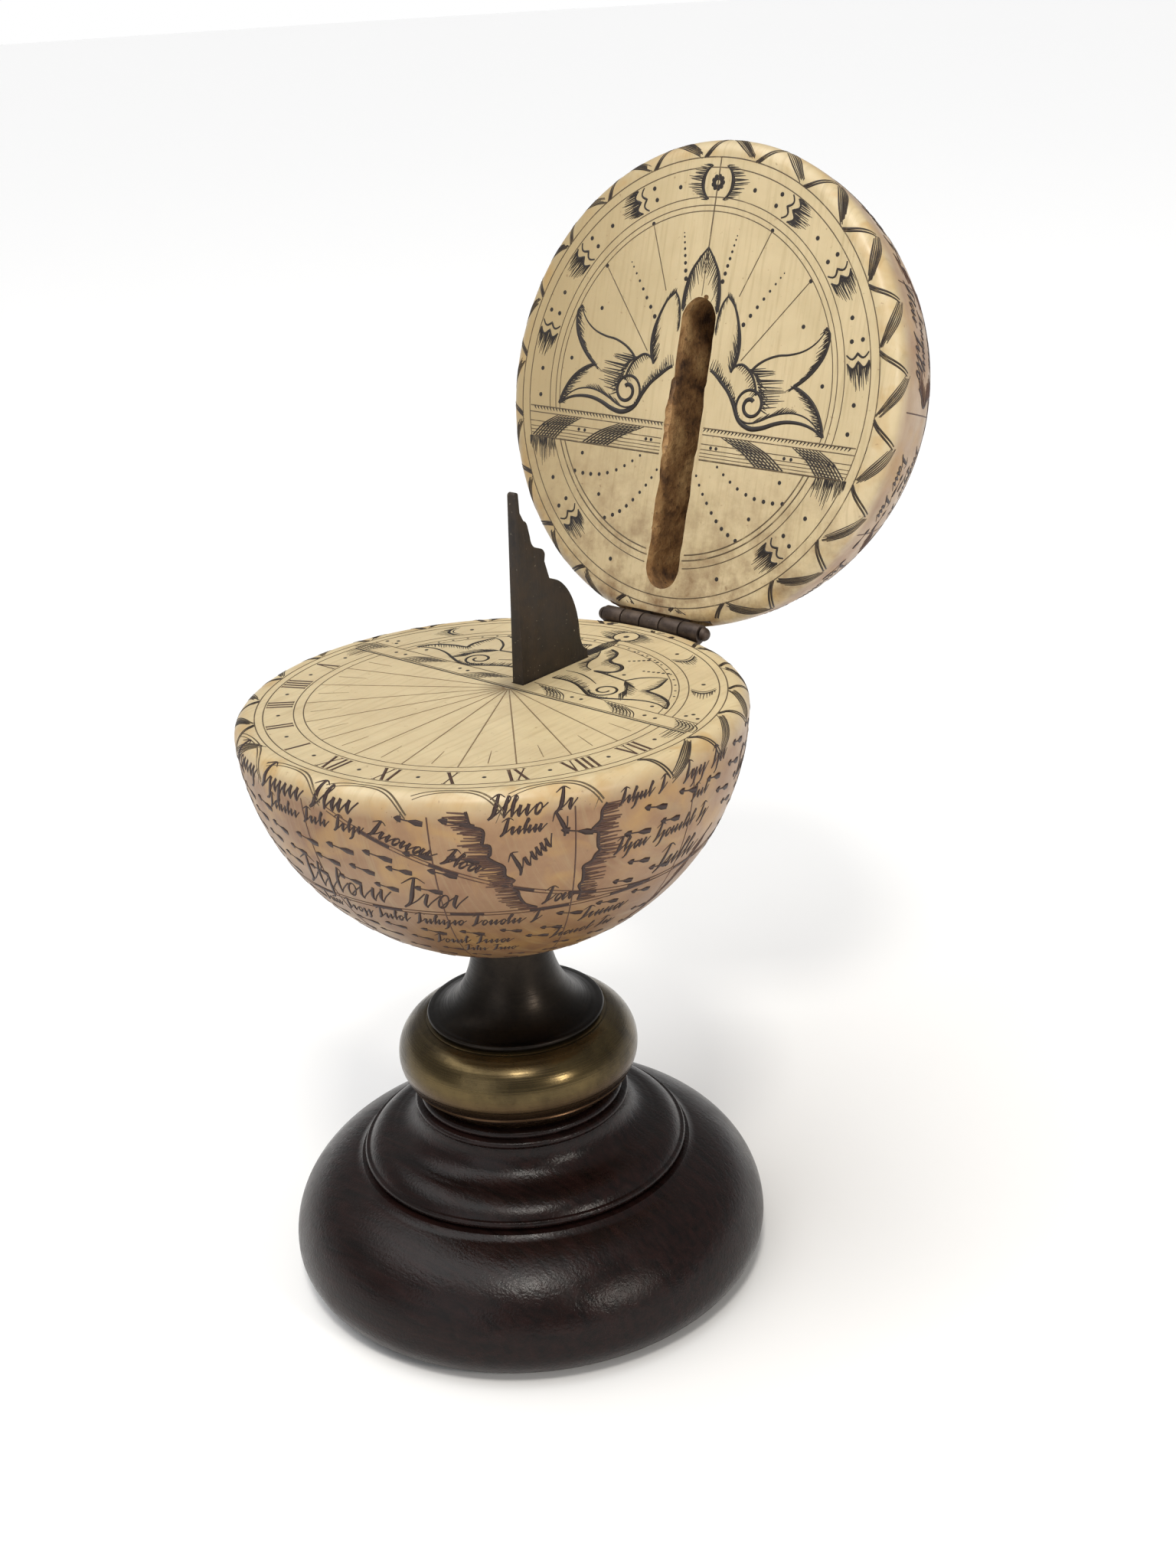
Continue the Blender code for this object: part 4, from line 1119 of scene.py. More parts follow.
    # fishtail
    topEdge = curve([(0.300, 0.082), (0.330, 0.112), (0.372, 0.138), (0.425, 0.157), (0.480, 0.165),
                     (0.540, 0.183), (0.588, 0.213), (0.622, 0.252), (0.634, 0.285)])
    drawLine(rightBold, topEdge, 0.24, (1.2, 0.9, 0.5))
    fin = curve([(0.634, 0.285), (0.655, 0.262), (0.655, 0.220), (0.640, 0.170), (0.606, 0.117),
                 (0.565, 0.075), (0.522, 0.043)])
    drawLine(rightBold, fin, 0.42, (0.4, 1.0, 1.0))
    drawHatch(rightBold, fin, 2.2, 0.2, 0.15, toward=(-0.74, -0.66), reach=(0.5, 1.0, 0.45))
    drawHatch(rightBold, fin, 1.2, 0.15, 0.17, toward=(-0.8, -0.5), reach=(0.5, 1.0, 0.9))
    tail = curve([(0.522, 0.043), (0.560, 0.030), (0.604, 0.004), (0.645, -0.036), (0.676, -0.088),
                  (0.694, -0.140)])
    drawLine(rightBold, tail, 0.40, (0.8, 1.0, 0.9))
    drawHatch(rightBold, tail, 1.9, 0.2, 0.15, toward=(-0.95, 0.22), reach=(0.25, 1.0, 0.5))
    drawHatch(rightBold, tail, 1.0, 0.15, 0.16, toward=(-0.95, -0.05), reach=(0.5, 1.0, 0.8))
    drawHatch(rightBold, lip[8:24], 1.5, 0.2, 0.14, toward=(0.75, 0.62), reach=(0.8, 1.0, 0.3))
    hollow = curve([(0.285, 0.094), (0.325, 0.070), (0.352, 0.020), (0.372, -0.030), (0.378, -0.062)])
    for toward, far in (((1.0, 0.12), 3.4), ((0.9, -0.42), 1.5)):
        drawHatch(rightBold, hollow, far, 0.2, 0.17, toward=toward, reach=(0.75, 1.0, 0.75))
    # ring motifs
    for angle in (64, 38.5, 14):
        drawCloud(rightBold, angle, lidPlan["motifs"], 1)
    drawCloud(rightBold, -46.5, 0.818, 1)
    for angle in (76.5, 49.7, 23.9, 0, -8, -34.4, -69.4):
        drawDot(rightBold, polar(angle, 0.815 * big), 0.25)
    # cross band
    edge = lidPlan["innerRing"]
    for height, width, ring in ((top, 0.13, 0.872), (-0.190, 0.1, edge), (-0.228, 0.09, edge),
                                (-0.250, 0.08, edge), (-0.265, 0.08, edge), (-0.279, 0.08, edge),
                                (foot, 0.17, 0.862)):
        end = sqrt(ring ** 2 - height ** 2)
        drawLine(right, straight([(0.09, height), (end, height)]), width)
    ticks = 42
    for i in range(ticks):
        x = 0.10 + 0.75 * i / ticks
        drawLine(rightBold, scaled([(x, -0.165), (x - 0.010, -0.178)]), 0.15, (1.2, 0.8, 0.4))
    for low, high, wide, strokes in ((0.205, 0.395, 0.135, 8), (0.560, 0.690, 0.130, 9)):
        for i in range(strokes):
            shift = wide * i / (strokes - 1)
            start, end = (low + shift, -0.192), (high + shift, -0.290)
            middle = ((start[0] + end[0]) / 2 + 0.012, -0.236)
            drawLine(rightBold, curve([start, middle, end]), 0.17, (0.5, 1.0, 0.9))
        for i in range(strokes):
            t = (i + 0.5) / strokes
            x, y = low + (high - low) * t, -0.192 - 0.098 * t
            drawLine(rightBold, straight([(x, y), (x + wide * 0.95, y - 0.006)], 0.5), 0.1, (0.5, 1.0, 0.5))
    drawDots(rightBold, [(x, -0.240) for x in (0.158, 0.186, 0.528, 0.562, 0.742, 0.768)], 0.2)
    fringe = scaled([(0.690, foot), (0.835, foot)])
    drawHatch(rightBold, fringe, 3.0, 0.16, 0.15, toward=(-0.22, -1), reach=(0.55, 1.1, 0.5))
    drawHatch(rightBold, fringe, 1.2, 0.13, 0.16, toward=(-0.1, -1))
    # dotted sprays below the band
    sprays = ([(0.105, -0.360), (0.140, -0.415), (0.184, -0.470), (0.232, -0.522), (0.286, -0.565),
               (0.351, -0.595)],
              [(0.205, -0.312), (0.262, -0.352), (0.330, -0.390), (0.410, -0.415), (0.490, -0.422),
               (0.553, -0.418)])
    for spray in sprays:
        path = smooth(scaled(spray), 0.1)
        for i in range(9):
            drawDot(rightBold, path[int(i / 8 * (len(path) - 1))], 0.16 + 0.08 * min(i, 6) / 6)
    drawDots(rightBold, [(0.401, -0.5), (0.524, -0.337)], 0.23)
    mirrorPen(right)
    mirrorPen(rightBold)
    # roundel at the top
    roundel = scaled([(0, 0.818)])[0]
    for start, end in ((-62, 62), (118, 242)):
        drawLine(bold, arcLine(roundel, 0.076 * big, start, end, 0.2), 0.42, (0.3, 1.2, 0.3))
        outer = arcLine(roundel, 0.080 * big, start, end, 0.2)
        drawHatch(bold, outer, 1.9, 0.15, 0.16, toward=(1, 0.05) if start < 0 else (-1, 0.05),
                  reach=(0.4, 1.1, 0.4))
    for i in range(9):
        petal = polar(40 * i, 0.62)
        drawDot(bold, (roundel[0] + petal[0], roundel[1] + petal[1]), 0.27)
    drawLine(bold, arcLine(roundel, 0.36, 0, 360, 0.12), 0.2)
    drawBorder(band, band, 0, 360, -1, 79.0)
    bold["lines"] += rightBold["lines"]
    bold["dots"] += rightBold["dots"]
    fine["lines"] += right["lines"]
    inkPiece("lid_fine_lines", fine, thinInk, "lid", layOnFace)
    inkPiece("lid_ornament", bold, blackInk, "lid", layOnFace)
    inkPiece("lid_border_bands", band, bandInk, "lid", layOnFace)


def drawNumeral(pen, text, angle):
    # Roman figures, upright for someone looking at the dial from that side
    base, tall, wide = 0.776 * big, 0.100 * big, {"I": 0.62, "V": 1.35, "X": 1.35}
    length = sum(wide[letter] for letter in text)
    outward = Vector(polar(angle, 1.0))
    along = Vector((-outward.y, outward.x))
    cursor = -length / 2
    strokes = {
        "I": [((0, 0), (0, 1), 0.3)],
        "V": [((-0.42, 1), (0, 0), 0.3), ((0.40, 1), (0.02, 0), 0.14)],
        "X": [((-0.42, 1), (0.42, 0), 0.3), ((0.42, 1), (-0.42, 0), 0.14)],
    }

    def spot(across, up):
        return tuple(outward * (base + tall * (1 - up)) + along * across)

    for letter in text:
        middle = cursor + wide[letter] / 2
        ends = set()
        for (x0, y0), (x1, y1), width in strokes[letter]:
            drawLine(pen, sample([spot(middle + x0, y0), spot(middle + x1, y1)], 0.5), width)
            ends |= {(x0, y0), (x1, y1)}
        for x, y in ends:
            if letter == "V" and y == 0:
                continue
            drawLine(pen, [spot(middle + x - 0.2, y), spot(middle + x + 0.2, y)], 0.13, (0.7, 1, 0.7))
        cursor += wide[letter]


def drawEyelash(pen, angle, radius, downSign):
    # crescent with lashes
    at = Vector(polar(angle, radius * big))
    outward = at.normalized()
    down = Vector((outward.y, -outward.x)) * downSign
    for shift, width, swell in ((0.0, 0.16, 0.95), (0.42, 0.36, 1.0)):
        path = [tuple(at + down * (shift + swell * sin(pi * i / 12)) + outward * (-1.25 + 2.5 * i / 12))
                for i in range(13)]
        drawLine(pen, smooth(path, 0.25), width, (0.3, 1, 0.3))
    lash = [tuple(at + down * (0.5 + sin(pi * i / 12)) + outward * (-1.2 + 2.4 * i / 12)) for i in range(13)]
    drawHatch(pen, lash, 1.5, 0.2, 0.13, toward=down, reach=(0.4, 1, 0.4))
    drawDot(pen, tuple(at - down * 1.1), 0.24)


# shares of the globe's radius; all hour lines meet where the six o'clock line crosses the noon line
dialPlan = {"sixLine": 0.098, "bandTop": 0.197, "outerRing": 0.916, "middleRing": 0.884, "figureRing": 0.766,
            "hourRing": 0.728, "noonRing": 0.700, "figures": 0.825, "halfHours": 0.58, "scallops": 0.929}


def drawDial():
    fine, bold, band = newPen(21, onGnomonSlot), newPen(22, onGnomonSlot), newPen(23, onGnomonSlot)
    hours, figures = newPen(24, onGnomonSlot), newPen(25, onGnomonSlot)
    start, top = dialPlan["sixLine"], dialPlan["bandTop"]
    # rings
    for radius in (dialPlan["outerRing"], dialPlan["middleRing"]):
        drawRing(fine, radius, 0.12)
    for radius in (dialPlan["figureRing"], dialPlan["hourRing"]):
        low = degrees(np.arcsin(start / radius))
        drawRing(fine, radius, 0.11, 180 - low, 360 + low)
        high = degrees(np.arcsin(top / radius))
        drawRing(fine, radius, 0.11, high, 180 - high)
    high = degrees(np.arcsin(top / dialPlan["noonRing"]))
    drawRing(fine, dialPlan["noonRing"], 0.1, high, 180 - high)
    for angle in range(30, 151, 5):
        drawDot(bold, polar(angle + 1.5, 0.714 * big), 0.15)
    # hour lines, half-hour ticks and numerals
    origin = Vector(scaled([(0, start)])[0])
    names = {-75: "I", -60: "II", -45: "III", -30: "IIII", -15: "V", 0: "XII",
             15: "XI", 30: "X", 45: "IX", 60: "VIII", 75: "VII"}
    for hour, text in names.items():
        reverse = {-75: -15, -60: -30, -45: -45, -30: -60, -15: -75}.get(hour, hour)
        aim = Vector(polar(reverse - 90, 1.0))
        meet = crossing(origin, aim, dialPlan["hourRing"] * big)
        drawLine(hours, sample([tuple(origin + aim * 0.4), tuple(meet)], 0.5), 0.14, (0.8, 1, 0.9))
        centre = crossing(origin, aim, dialPlan["figures"] * big)
        drawNumeral(figures, text, degrees(atan2(centre.y, centre.x)))
    for i in range(12):
        aim = Vector(polar(-172.5 + 15 * i, 1.0))
        a, b = (crossing(origin, aim, dialPlan[name] * big) for name in ("halfHours", "noonRing"))
        drawLine(hours, sample([tuple(a), tuple(b)], 0.5), 0.1, (0.5, 1, 0.9))
        spot = crossing(origin, aim, dialPlan["figures"] * big)
        drawDot(bold, tuple(spot), 0.22)
    # six o'clock band
    for height, width in ((start, 0.2), (start + 0.012, 0.12), (top, 0.13)):
        end = sqrt(dialPlan["middleRing"] ** 2 - height ** 2)
        drawLine(fine if height > start else bold, straight([(-end, height), (end, height)]), width)
    right = newPen(26, onGnomonSlot)
    for low, high, wide, strokes in ((0.075, 0.185, 0.085, 6), (0.415, 0.520, 0.10, 7),
                                     (0.760, 0.815, 0.085, 6)):
        for i in range(strokes):
            shift = wide * i / (strokes - 1)
            start0, end0 = (low + shift, 0.190), (high + shift, 0.114)
            middle = ((start0[0] + end0[0]) / 2 + 0.018, 0.156)
            drawLine(right, curve([start0, middle, end0]), 0.14, (0.4, 1.0, 0.5))
        for i in range(6):
            t = (i + 0.5) / 6
            x, y = low + (high - low) * t, 0.190 - 0.076 * t
            drawLine(right, straight([(x, y), (x + wide, y - 0.004)], 0.5), 0.1, (0.5, 1.0, 0.5))
    drawDots(right, [(0.280, 0.155), (0.325, 0.157), (0.640, 0.157), (0.692, 0.155), (0.605, 0.245),
                     (0.790, 0.262), (0.830, 0.236), (0.775, 0.236)], 0.22)
    drawHatch(right, scaled([(0.800, 0.096), (0.874, 0.096)]), 2.0, 0.2, 0.12, toward=(0.1, -1),
              reach=(1, 1, 0.6))
    # strapwork, right side
    low = curve([(0.068, 0.279), (0.140, 0.285), (0.204, 0.270), (0.268, 0.236), (0.320, 0.207),
                 (0.375, 0.206), (0.440, 0.232), (0.503, 0.262), (0.560, 0.276), (0.610, 0.274),
                 (0.668, 0.252)])
    drawLine(right, low, 0.34, (0.8, 1.1, 0.5))
    drawHatch(right, low[:26], 1.1, 0.18, 0.16, toward=(0.1, 1), reach=(1.2, 1.0, 0.4))
    tip = curve([(0.668, 0.252), (0.640, 0.300), (0.600, 0.330), (0.550, 0.350), (0.483, 0.362)])
    drawLine(right, tip, 0.36, (0.6, 1.0, 0.9))
    upper = curve([(0.483, 0.362), (0.492, 0.410), (0.480, 0.465), (0.466, 0.512)])
    drawLine(right, upper, 0.36, (0.9, 1.0, 0.4))
    back = curve([(0.466, 0.512), (0.420, 0.500), (0.370, 0.462), (0.335, 0.405)])
    drawLine(right, back, 0.26, (0.4, 1.0, 0.9))
    drawHatch(right, tip, 1.2, 0.2, 0.14, toward=(-0.7, -0.6), reach=(0.4, 1.0, 0.7))
    drawHatch(right, upper, 1.0, 0.2, 0.14, toward=(-0.9, -0.3), reach=(0.8, 1.0, 0.4))
    hollow = curve([(0.335, 0.405), (0.375, 0.375), (0.405, 0.325), (0.412, 0.275)])
    drawHatch(right, hollow, 2.3, 0.18, 0.16, toward=(0.6, -0.8), reach=(0.8, 1.0, 0.8))
    drawHatch(right, hollow, 1.6, 0.18, 0.15, toward=(1.0, -0.2), reach=(0.8, 1.0, 0.8))
    body = curve([(0.054, 0.66), (0.098, 0.640), (0.122, 0.600), (0.130, 0.560), (0.160, 0.538),
                  (0.205, 0.534), (0.238, 0.505), (0.240, 0.468), (0.212, 0.440), (0.160, 0.428),
                  (0.215, 0.424), (0.272, 0.415), (0.335, 0.405)])
    drawLine(right, body, 0.4, (0.8, 1.1, 0.6))
    drawHatch(right, body[:26], 1.3, 0.2, 0.15, toward=(-0.25, -1), reach=(1.0, 0.9, 0.6))
    turns = [polar(-150 + 520 * t, (0.064 - 0.046 * t) * big) for t in (i / 40 for i in range(41))]
    centre = scaled([(0.338, 0.282)])[0]
    drawLine(right, smooth([(centre[0] + x, centre[1] + y) for x, y in turns], 0.3), 0.28, (0.9, 1.0, 0.8))
    lobe = curve([(0.028, 0.62), (0.060, 0.560), (0.070, 0.500), (0.100, 0.450), (0.140, 0.430)])
    drawLine(right, lobe, 0.22, (0.5, 1.0, 0.5))
    drawHatch(right, lobe, 1.6, 0.22, 0.14, toward=(-0.3, -1), reach=(0.6, 1.0, 0.5))
    drawLine(right, curve([(0.06, 0.37), (0.13, 0.372), (0.2, 0.35), (0.262, 0.318)]), 0.2, (0.4, 1, 0.5))
    for first, last, count in (((0.205, 0.590), (0.265, 0.640), 5), ((0.330, 0.530), (0.430, 0.560), 6),
                               ((0.150, 0.690), (0.310, 0.640), 4)):
        for i in range(count):
            t = i / (count - 1)
            drawDots(right, [(first[0] + (last[0] - first[0]) * t, first[1] + (last[1] - first[1]) * t)],
                     0.16 + 0.05 * t)
    drawDots(right, [(0.29, 0.455)], 0.22)
    for angle in (64.5, 37.7):
        drawEyelash(right, angle, 0.822, 1)
    mirrorPen(right)
    bold["lines"] += right["lines"]
    bold["dots"] += right["dots"]
    # spear on the noon line, and the ring behind it
    for x in (-0.016, -0.008, 0.0, 0.008, 0.016):
        drawLine(bold, straight([(x * 0.3, 0.775), (x * 1.5, 0.70), (x, 0.540)]), 0.26, (0.3, 1.0, 1.0))
    roundel = scaled([(0, 0.816)])[0]
    drawLine(bold, arcLine(roundel, 0.055 * big, 0, 360, 0.2), 0.2)
    drawDot(bold, roundel, 0.34)
    for start1, end1 in ((-60, 60), (120, 240)):
        drawHatch(bold, arcLine(roundel, 0.060 * big, start1, end1, 0.2), 1.8, 0.16, 0.15,
                  toward=(1, 0.05) if start1 < 0 else (-1, 0.05), reach=(0.5, 1.1, 0.5))
    drawBorder(band, band, 0, 236, 1, 4.0)
    drawBorder(band, band, 332, 360, 1, 4.0)
    # scalloped rim on the noon side: wide arcs that run out over the edge
    ring, sweep, drop = dialPlan["scallops"] * big, 19.4, 2.9
    for i in range(5):
        low = 236 + 20.2 * i
        for shift, width in ((0.0, 0.17), (0.5, 0.13)):
            path = [polar(low + 0.8 * shift + (sweep - 1.5 * shift) * t,
                          ring + shift * 0.7 + 1.1 * (1 - t) ** 4 + drop * t ** 5)
                    for t in (j / 16 for j in range(17))]
            drawLine(fine, smooth(path), width, (0.5, 1.0, 1.1))
        for j in range(4):      # shading tucked under the end of each arc
            t = 0.80 + 0.05 * j
            a = polar(low + sweep * t, ring + drop * t ** 5 + 0.35)
            b = polar(low + sweep * t - 1.2, ring + drop * t ** 5 + 1.5)
            drawLine(fine, [a, b], 0.1, (1.0, 0.8, 0.4))
    inkPiece("dial_fine_lines", fine, thinInk, "dial", layOnFace)
    inkPiece("dial_ornament", bold, blackInk, "dial", layOnFace)
    inkPiece("dial_border_bands", band, bandInk, "dial", layOnFace)
    inkPiece("dial_hour_lines", hours, hourInk, "dial", layOnFace)
    inkPiece("dial_numerals", figures, numeralInk, "dial", layOnFace)


def crossing(origin, aim, radius):
    # where a line from the origin meets a circle about the dial's centre
    b = origin.dot(aim)
    return origin + aim * (-b + sqrt(b * b - origin.length_squared + radius * radius))


bandInk = makeInk("brownRubbedBands", "2C2014", "75603A", 0.08)
hourInk = makeInk("greyBrownHourInk", "7A6548", "B49C74", 0.06)
drawLid()
drawDial()
print("faces engraved")


# map on the outside: invented coasts, winds and curls of penmanship that spell nothing
chart = {
    "meridianStep": 30, "tropic": 29.0, "dartLength": 3.0, "slant": 0.38, "dartSpacing": 9.2,
    "rows": (3.2, 7.6, 12.4, 16.6, 20.8, 25.0, 31.6, 36.5, 40.6, 46.5, 52.0, 58.0, 64.0),
}
degree = big * pi / 180


def drawDart(pen, at, tilt=-0.22):
    # small arrow that stands for the wind
    draw = pen["draw"]
    along = Vector((1, tilt + draw.uniform(-0.06, 0.06))).normalized()
    start = Vector(at)
    size = chart["dartLength"] * draw.uniform(0.85, 1.1)
    marks = ((0.0, 0.26, 0.62, (0.12, 1.0, 1.1)), (0.24, 0.6, 0.15, (1, 1, 1)),
             (0.52, 1.0, 0.74, (0.25, 0.9, 0.75)))      # barb, shaft and feather
    for low, high, width, weights in marks:
        a, b = start + along * size * low, start + along * size * high
        drawLine(pen, [tuple(a), tuple((a + b) / 2), tuple(b)], width, weights)


def drawScript(pen, start, angle, length, tall, bold=0.3):
    draw = pen["draw"]
    along = Vector(polar(angle, 1.0))
    up = Vector((-along.y, along.x))
    begin = Vector(start)

    def spot(across, height):
        return tuple(begin + along * (across + height * chart["slant"]) + up * height)

    def stroke(points, width, weights=(1, 1, 1)):
        # across and up from the place reached, in heights of a small letter
        drawLine(pen, smooth([spot(x + across * tall, height * tall) for across, height in points], 0.3), width,
                 weights)

    x, left = 0.0, 0
    bold *= 1.2
    thin = bold * 0.36
    while x < length:
        if left == 0:      # a word opens with a swash
            stroke([(0, 2.0), (0.05, 0.4), (-0.25, -0.1)], bold * 1.15, (0.6, 1.1, 0.5))
            stroke([(-0.6, 1.6), (0, 2.04), (0.6, 1.72)], thin, (0.6, 1.3, 0.6))
            stroke([(0, 0.1), (0.4, 0.5), (0.7, 1)], thin)
            left = draw.randint(4, 8)
            x += tall * 0.85
            continue
        kind = draw.random()
        step = tall * draw.uniform(0.5, 0.72)
        if kind < 0.52:
            stroke([(0, 1), (0, 0.3), (0.18, 0)], bold, (0.8, 1.0, 0.5))
        elif kind < 0.70:
            stroke([(0, 1.85), (0, 0.9), (0.15, 0)], bold, (0.6, 1.1, 0.5))
            stroke([(0, 1.85), (0.25, 1.6), (0.02 / tall, 1)], thin)
        elif kind < 0.80:
            stroke([(0, 1), (0, -0.5), (-0.35, -0.8)], bold, (0.8, 1.0, 0.4))
        else:
            ring = [spot(x + 0.24 * tall * (1 - cos(t)), 0.5 * tall + 0.48 * tall * sin(t))
                    for t in (2 * pi * i / 8 for i in range(9))]
            drawLine(pen, smooth(ring, 0.25), bold * 0.62, (1.0, 0.6, 1.0))
            step *= 1.3
        stroke([(0.15, 0.05), (0.5 * step / tall, 0.45), (step / tall, 0.92)], thin)
        x += step
        left -= 1
        if left == 0:
            x += tall * 1.1


def drawCoast(pen, softPen, points, hatchToward, reach=2.2, seed=1):
    draw = Random(seed)
    rough = [(points[0][0] * degree, points[0][1] * degree)]
    for (x0, y0), (x1, y1) in zip(points, points[1:]):
        for i in range(1, 5):
            t = i / 4
            rough.append(((x0 + (x1 - x0) * t) * degree + draw.uniform(-0.35, 0.35),
                          (y0 + (y1 - y0) * t) * degree + draw.uniform(-0.25, 0.25)))
    path = smooth(rough, 0.3)
    drawLine(pen, path, 0.38, (0.8, 1.1, 0.8))
    drawHatch(pen, path, 1.0, 0.26, 0.2, toward=hatchToward, reach=(0.9, 1.0, 0.9))
    drawHatch(softPen, path, reach, 0.2, 0.24, toward=hatchToward, weights=(1, 1, 0.7), reach=(0.9, 1.1, 0.8))


def drawBeaded(pen, softPen, path, width, segment):
    # double line with every other stretch filled dark
    gap = 0.42
    drawLine(softPen, path, 0.12)
    low = [(x, y - gap) for x, y in path]
    drawLine(softPen, low, 0.12)
    gone, dark = 0.0, []
    for a, b in zip(path, path[1:]):
        gone += hypot(b[0] - a[0], b[1] - a[1])
        if int(gone / segment) % 2:
            dark.append((b[0], b[1] - gap / 2))
        elif len(dark) > 1:
            drawLine(pen, dark, width)
            dark = []
        else:
            dark = []


def clearOf(items, longitude, latitude, margin):
    for low, high, level, tall in items:
        inside = low - margin < (longitude - low + 360) % 360 + low < high + margin
        if inside and abs(latitude - level) < tall:
            return False
    return True


def drawMap(name, body, seed, sign, coasts, words, lowest):
    pen, soft = newPen(seed), newPen(seed + 1)
    tropic = chart["tropic"] * sign
    for longitude in range(0, 360, chart["meridianStep"]):
        start = lowest[0] * sign
        ends = [(longitude * degree, start * degree), (longitude * degree, lowest[1] * sign * degree)]
        drawLine(soft, sample(ends, 0.6), 0.14)
    path = sample([(0, tropic * degree), (360 * degree, tropic * degree)], 0.6)
    drawBeaded(pen, soft, path, 0.46, 10 * degree)
    for start in (0, 180):
        wave = [((start + t) * degree, -29 * sin(radians(start + t)) * degree) for t in range(0, 181, 1)]
        wave = [(x, y) for x, y in wave if y * sign > lowest[0] * degree]
        if len(wave) > 2:
            drawBeaded(pen, soft, wave, 0.40, 8 * degree)
    for number, (points, toward) in enumerate(coasts):
        drawCoast(pen, soft, points, toward, 2.3, seed * 10 + number)
    for start, angle, length, tall, bold in words:
        drawScript(pen, (start[0] * degree, start[1] * degree), angle, length * degree, tall, bold)
    # east and west ends, height and half height of what the darts must keep clear of, in degrees
    taken = [(start[0] - 2, start[0] + length * cos(radians(angle)) + 2, start[1] + tall * 1.1,
              0.9 + tall * 1.5)
             for start, angle, length, tall, bold in words]
    taken += [(min(x for x, y in points) - 4, max(x for x, y in points) + 2,
               sum(y for x, y in points) / len(points), abs(points[0][1] - points[-1][1]) / 2 + 2)
              for points, toward in coasts]
    for row, latitude in enumerate(chart["rows"], 1):
        spacing = chart["dartSpacing"] / cos(radians(latitude)) ** 0.6
        count = int(360 / spacing)
        for i in range(count):
            longitude = (i + 0.5 * (row % 2)) * 360 / count
            level = sign * (latitude + pen["draw"].uniform(-0.6, 0.6))
            if latitude < lowest[0] or not clearOf(taken, longitude, level, 1.0):
                continue
            drawDart(pen, (longitude * degree, level * degree))
    inkPiece(name + "_ink", pen, mapInk, body, layOnGlobe)
    inkPiece(name + "_fine_ink", soft, mapFineInk, body, layOnGlobe)


mapFineInk = makeInk("thinPurpleBrownInk", "4A2E20", "8C6549", 0.06)
drawMap("globe_map", "dial", 41, -1, [
    ([(38, -2), (41, -8), (42, -13), (46, -19), (47, -24), (51, -28.5)], (-1, 0)),
    ([(67, -4), (64, -9), (65, -15), (62, -20), (62, -28)], (1, -0.05)),
    ([(103, -22), (100, -27), (96, -34), (92, -40), (86, -46)], (-0.8, -0.6)),
    ([(150, -4), (156, -10), (151, -16), (147, -24), (152, -30)], (-1, 0)),
    ([(205, -3), (200, -9), (206, -16), (212, -21), (210, -29), (204, -36)], (1, 0)),
    ([(262, -6), (266, -13), (261, -20), (268, -27)], (-1, 0)),
    ([(300, -24), (306, -30), (303, -37), (309, -44)], (1, 0)),
], [
    ((330, -4.2), 0, 44, 1.4, 0.36), ((348, -8.6), 0, 27, 0.85, 0.26), ((17, -8.4), -21, 24, 1.0, 0.28),
    ((352, -27.6), 0, 42, 2.0, 0.34), ((352, -34.0), 0, 60, 0.95, 0.27), ((24, -43.0), 0, 20, 1.0, 0.28),
    ((43, -3.8), 0, 16, 1.1, 0.3), ((45, -7.8), 0, 8, 0.85, 0.26), ((48.5, -17.5), 42, 13, 1.15, 0.3),
    ((53.5, -27.6), 0, 6, 1.1, 0.28), ((69.5, -17.2), 0, 27, 0.9, 0.27), ((83, -27.0), 0, 13, 1.5, 0.34),
    ((64, -37.0), 0, 13, 1.1, 0.3), ((70, -5.4), 0, 11, 0.8, 0.25), ((87, -5.4), 0, 15, 0.95, 0.27),
    ((90, -10.8), 0, 5, 0.8, 0.25), ((57, -43.4), 0, 18, 1.0, 0.28), ((31, -48.0), 0, 14, 0.9, 0.26),
    ((112, -14.0), 0, 26, 1.3, 0.32), ((118, -38.0), 0, 30, 1.1, 0.3), ((160, -26.5), 0, 34, 1.9, 0.36),
    ((216, -8.0), 0, 36, 1.1, 0.3), ((222, -38.0), 0, 34, 1.2, 0.32), ((272, -18.0), 0, 26, 1.2, 0.3),
    ((276, -40.0), 0, 20, 1.0, 0.28),
], (3.2, 78))
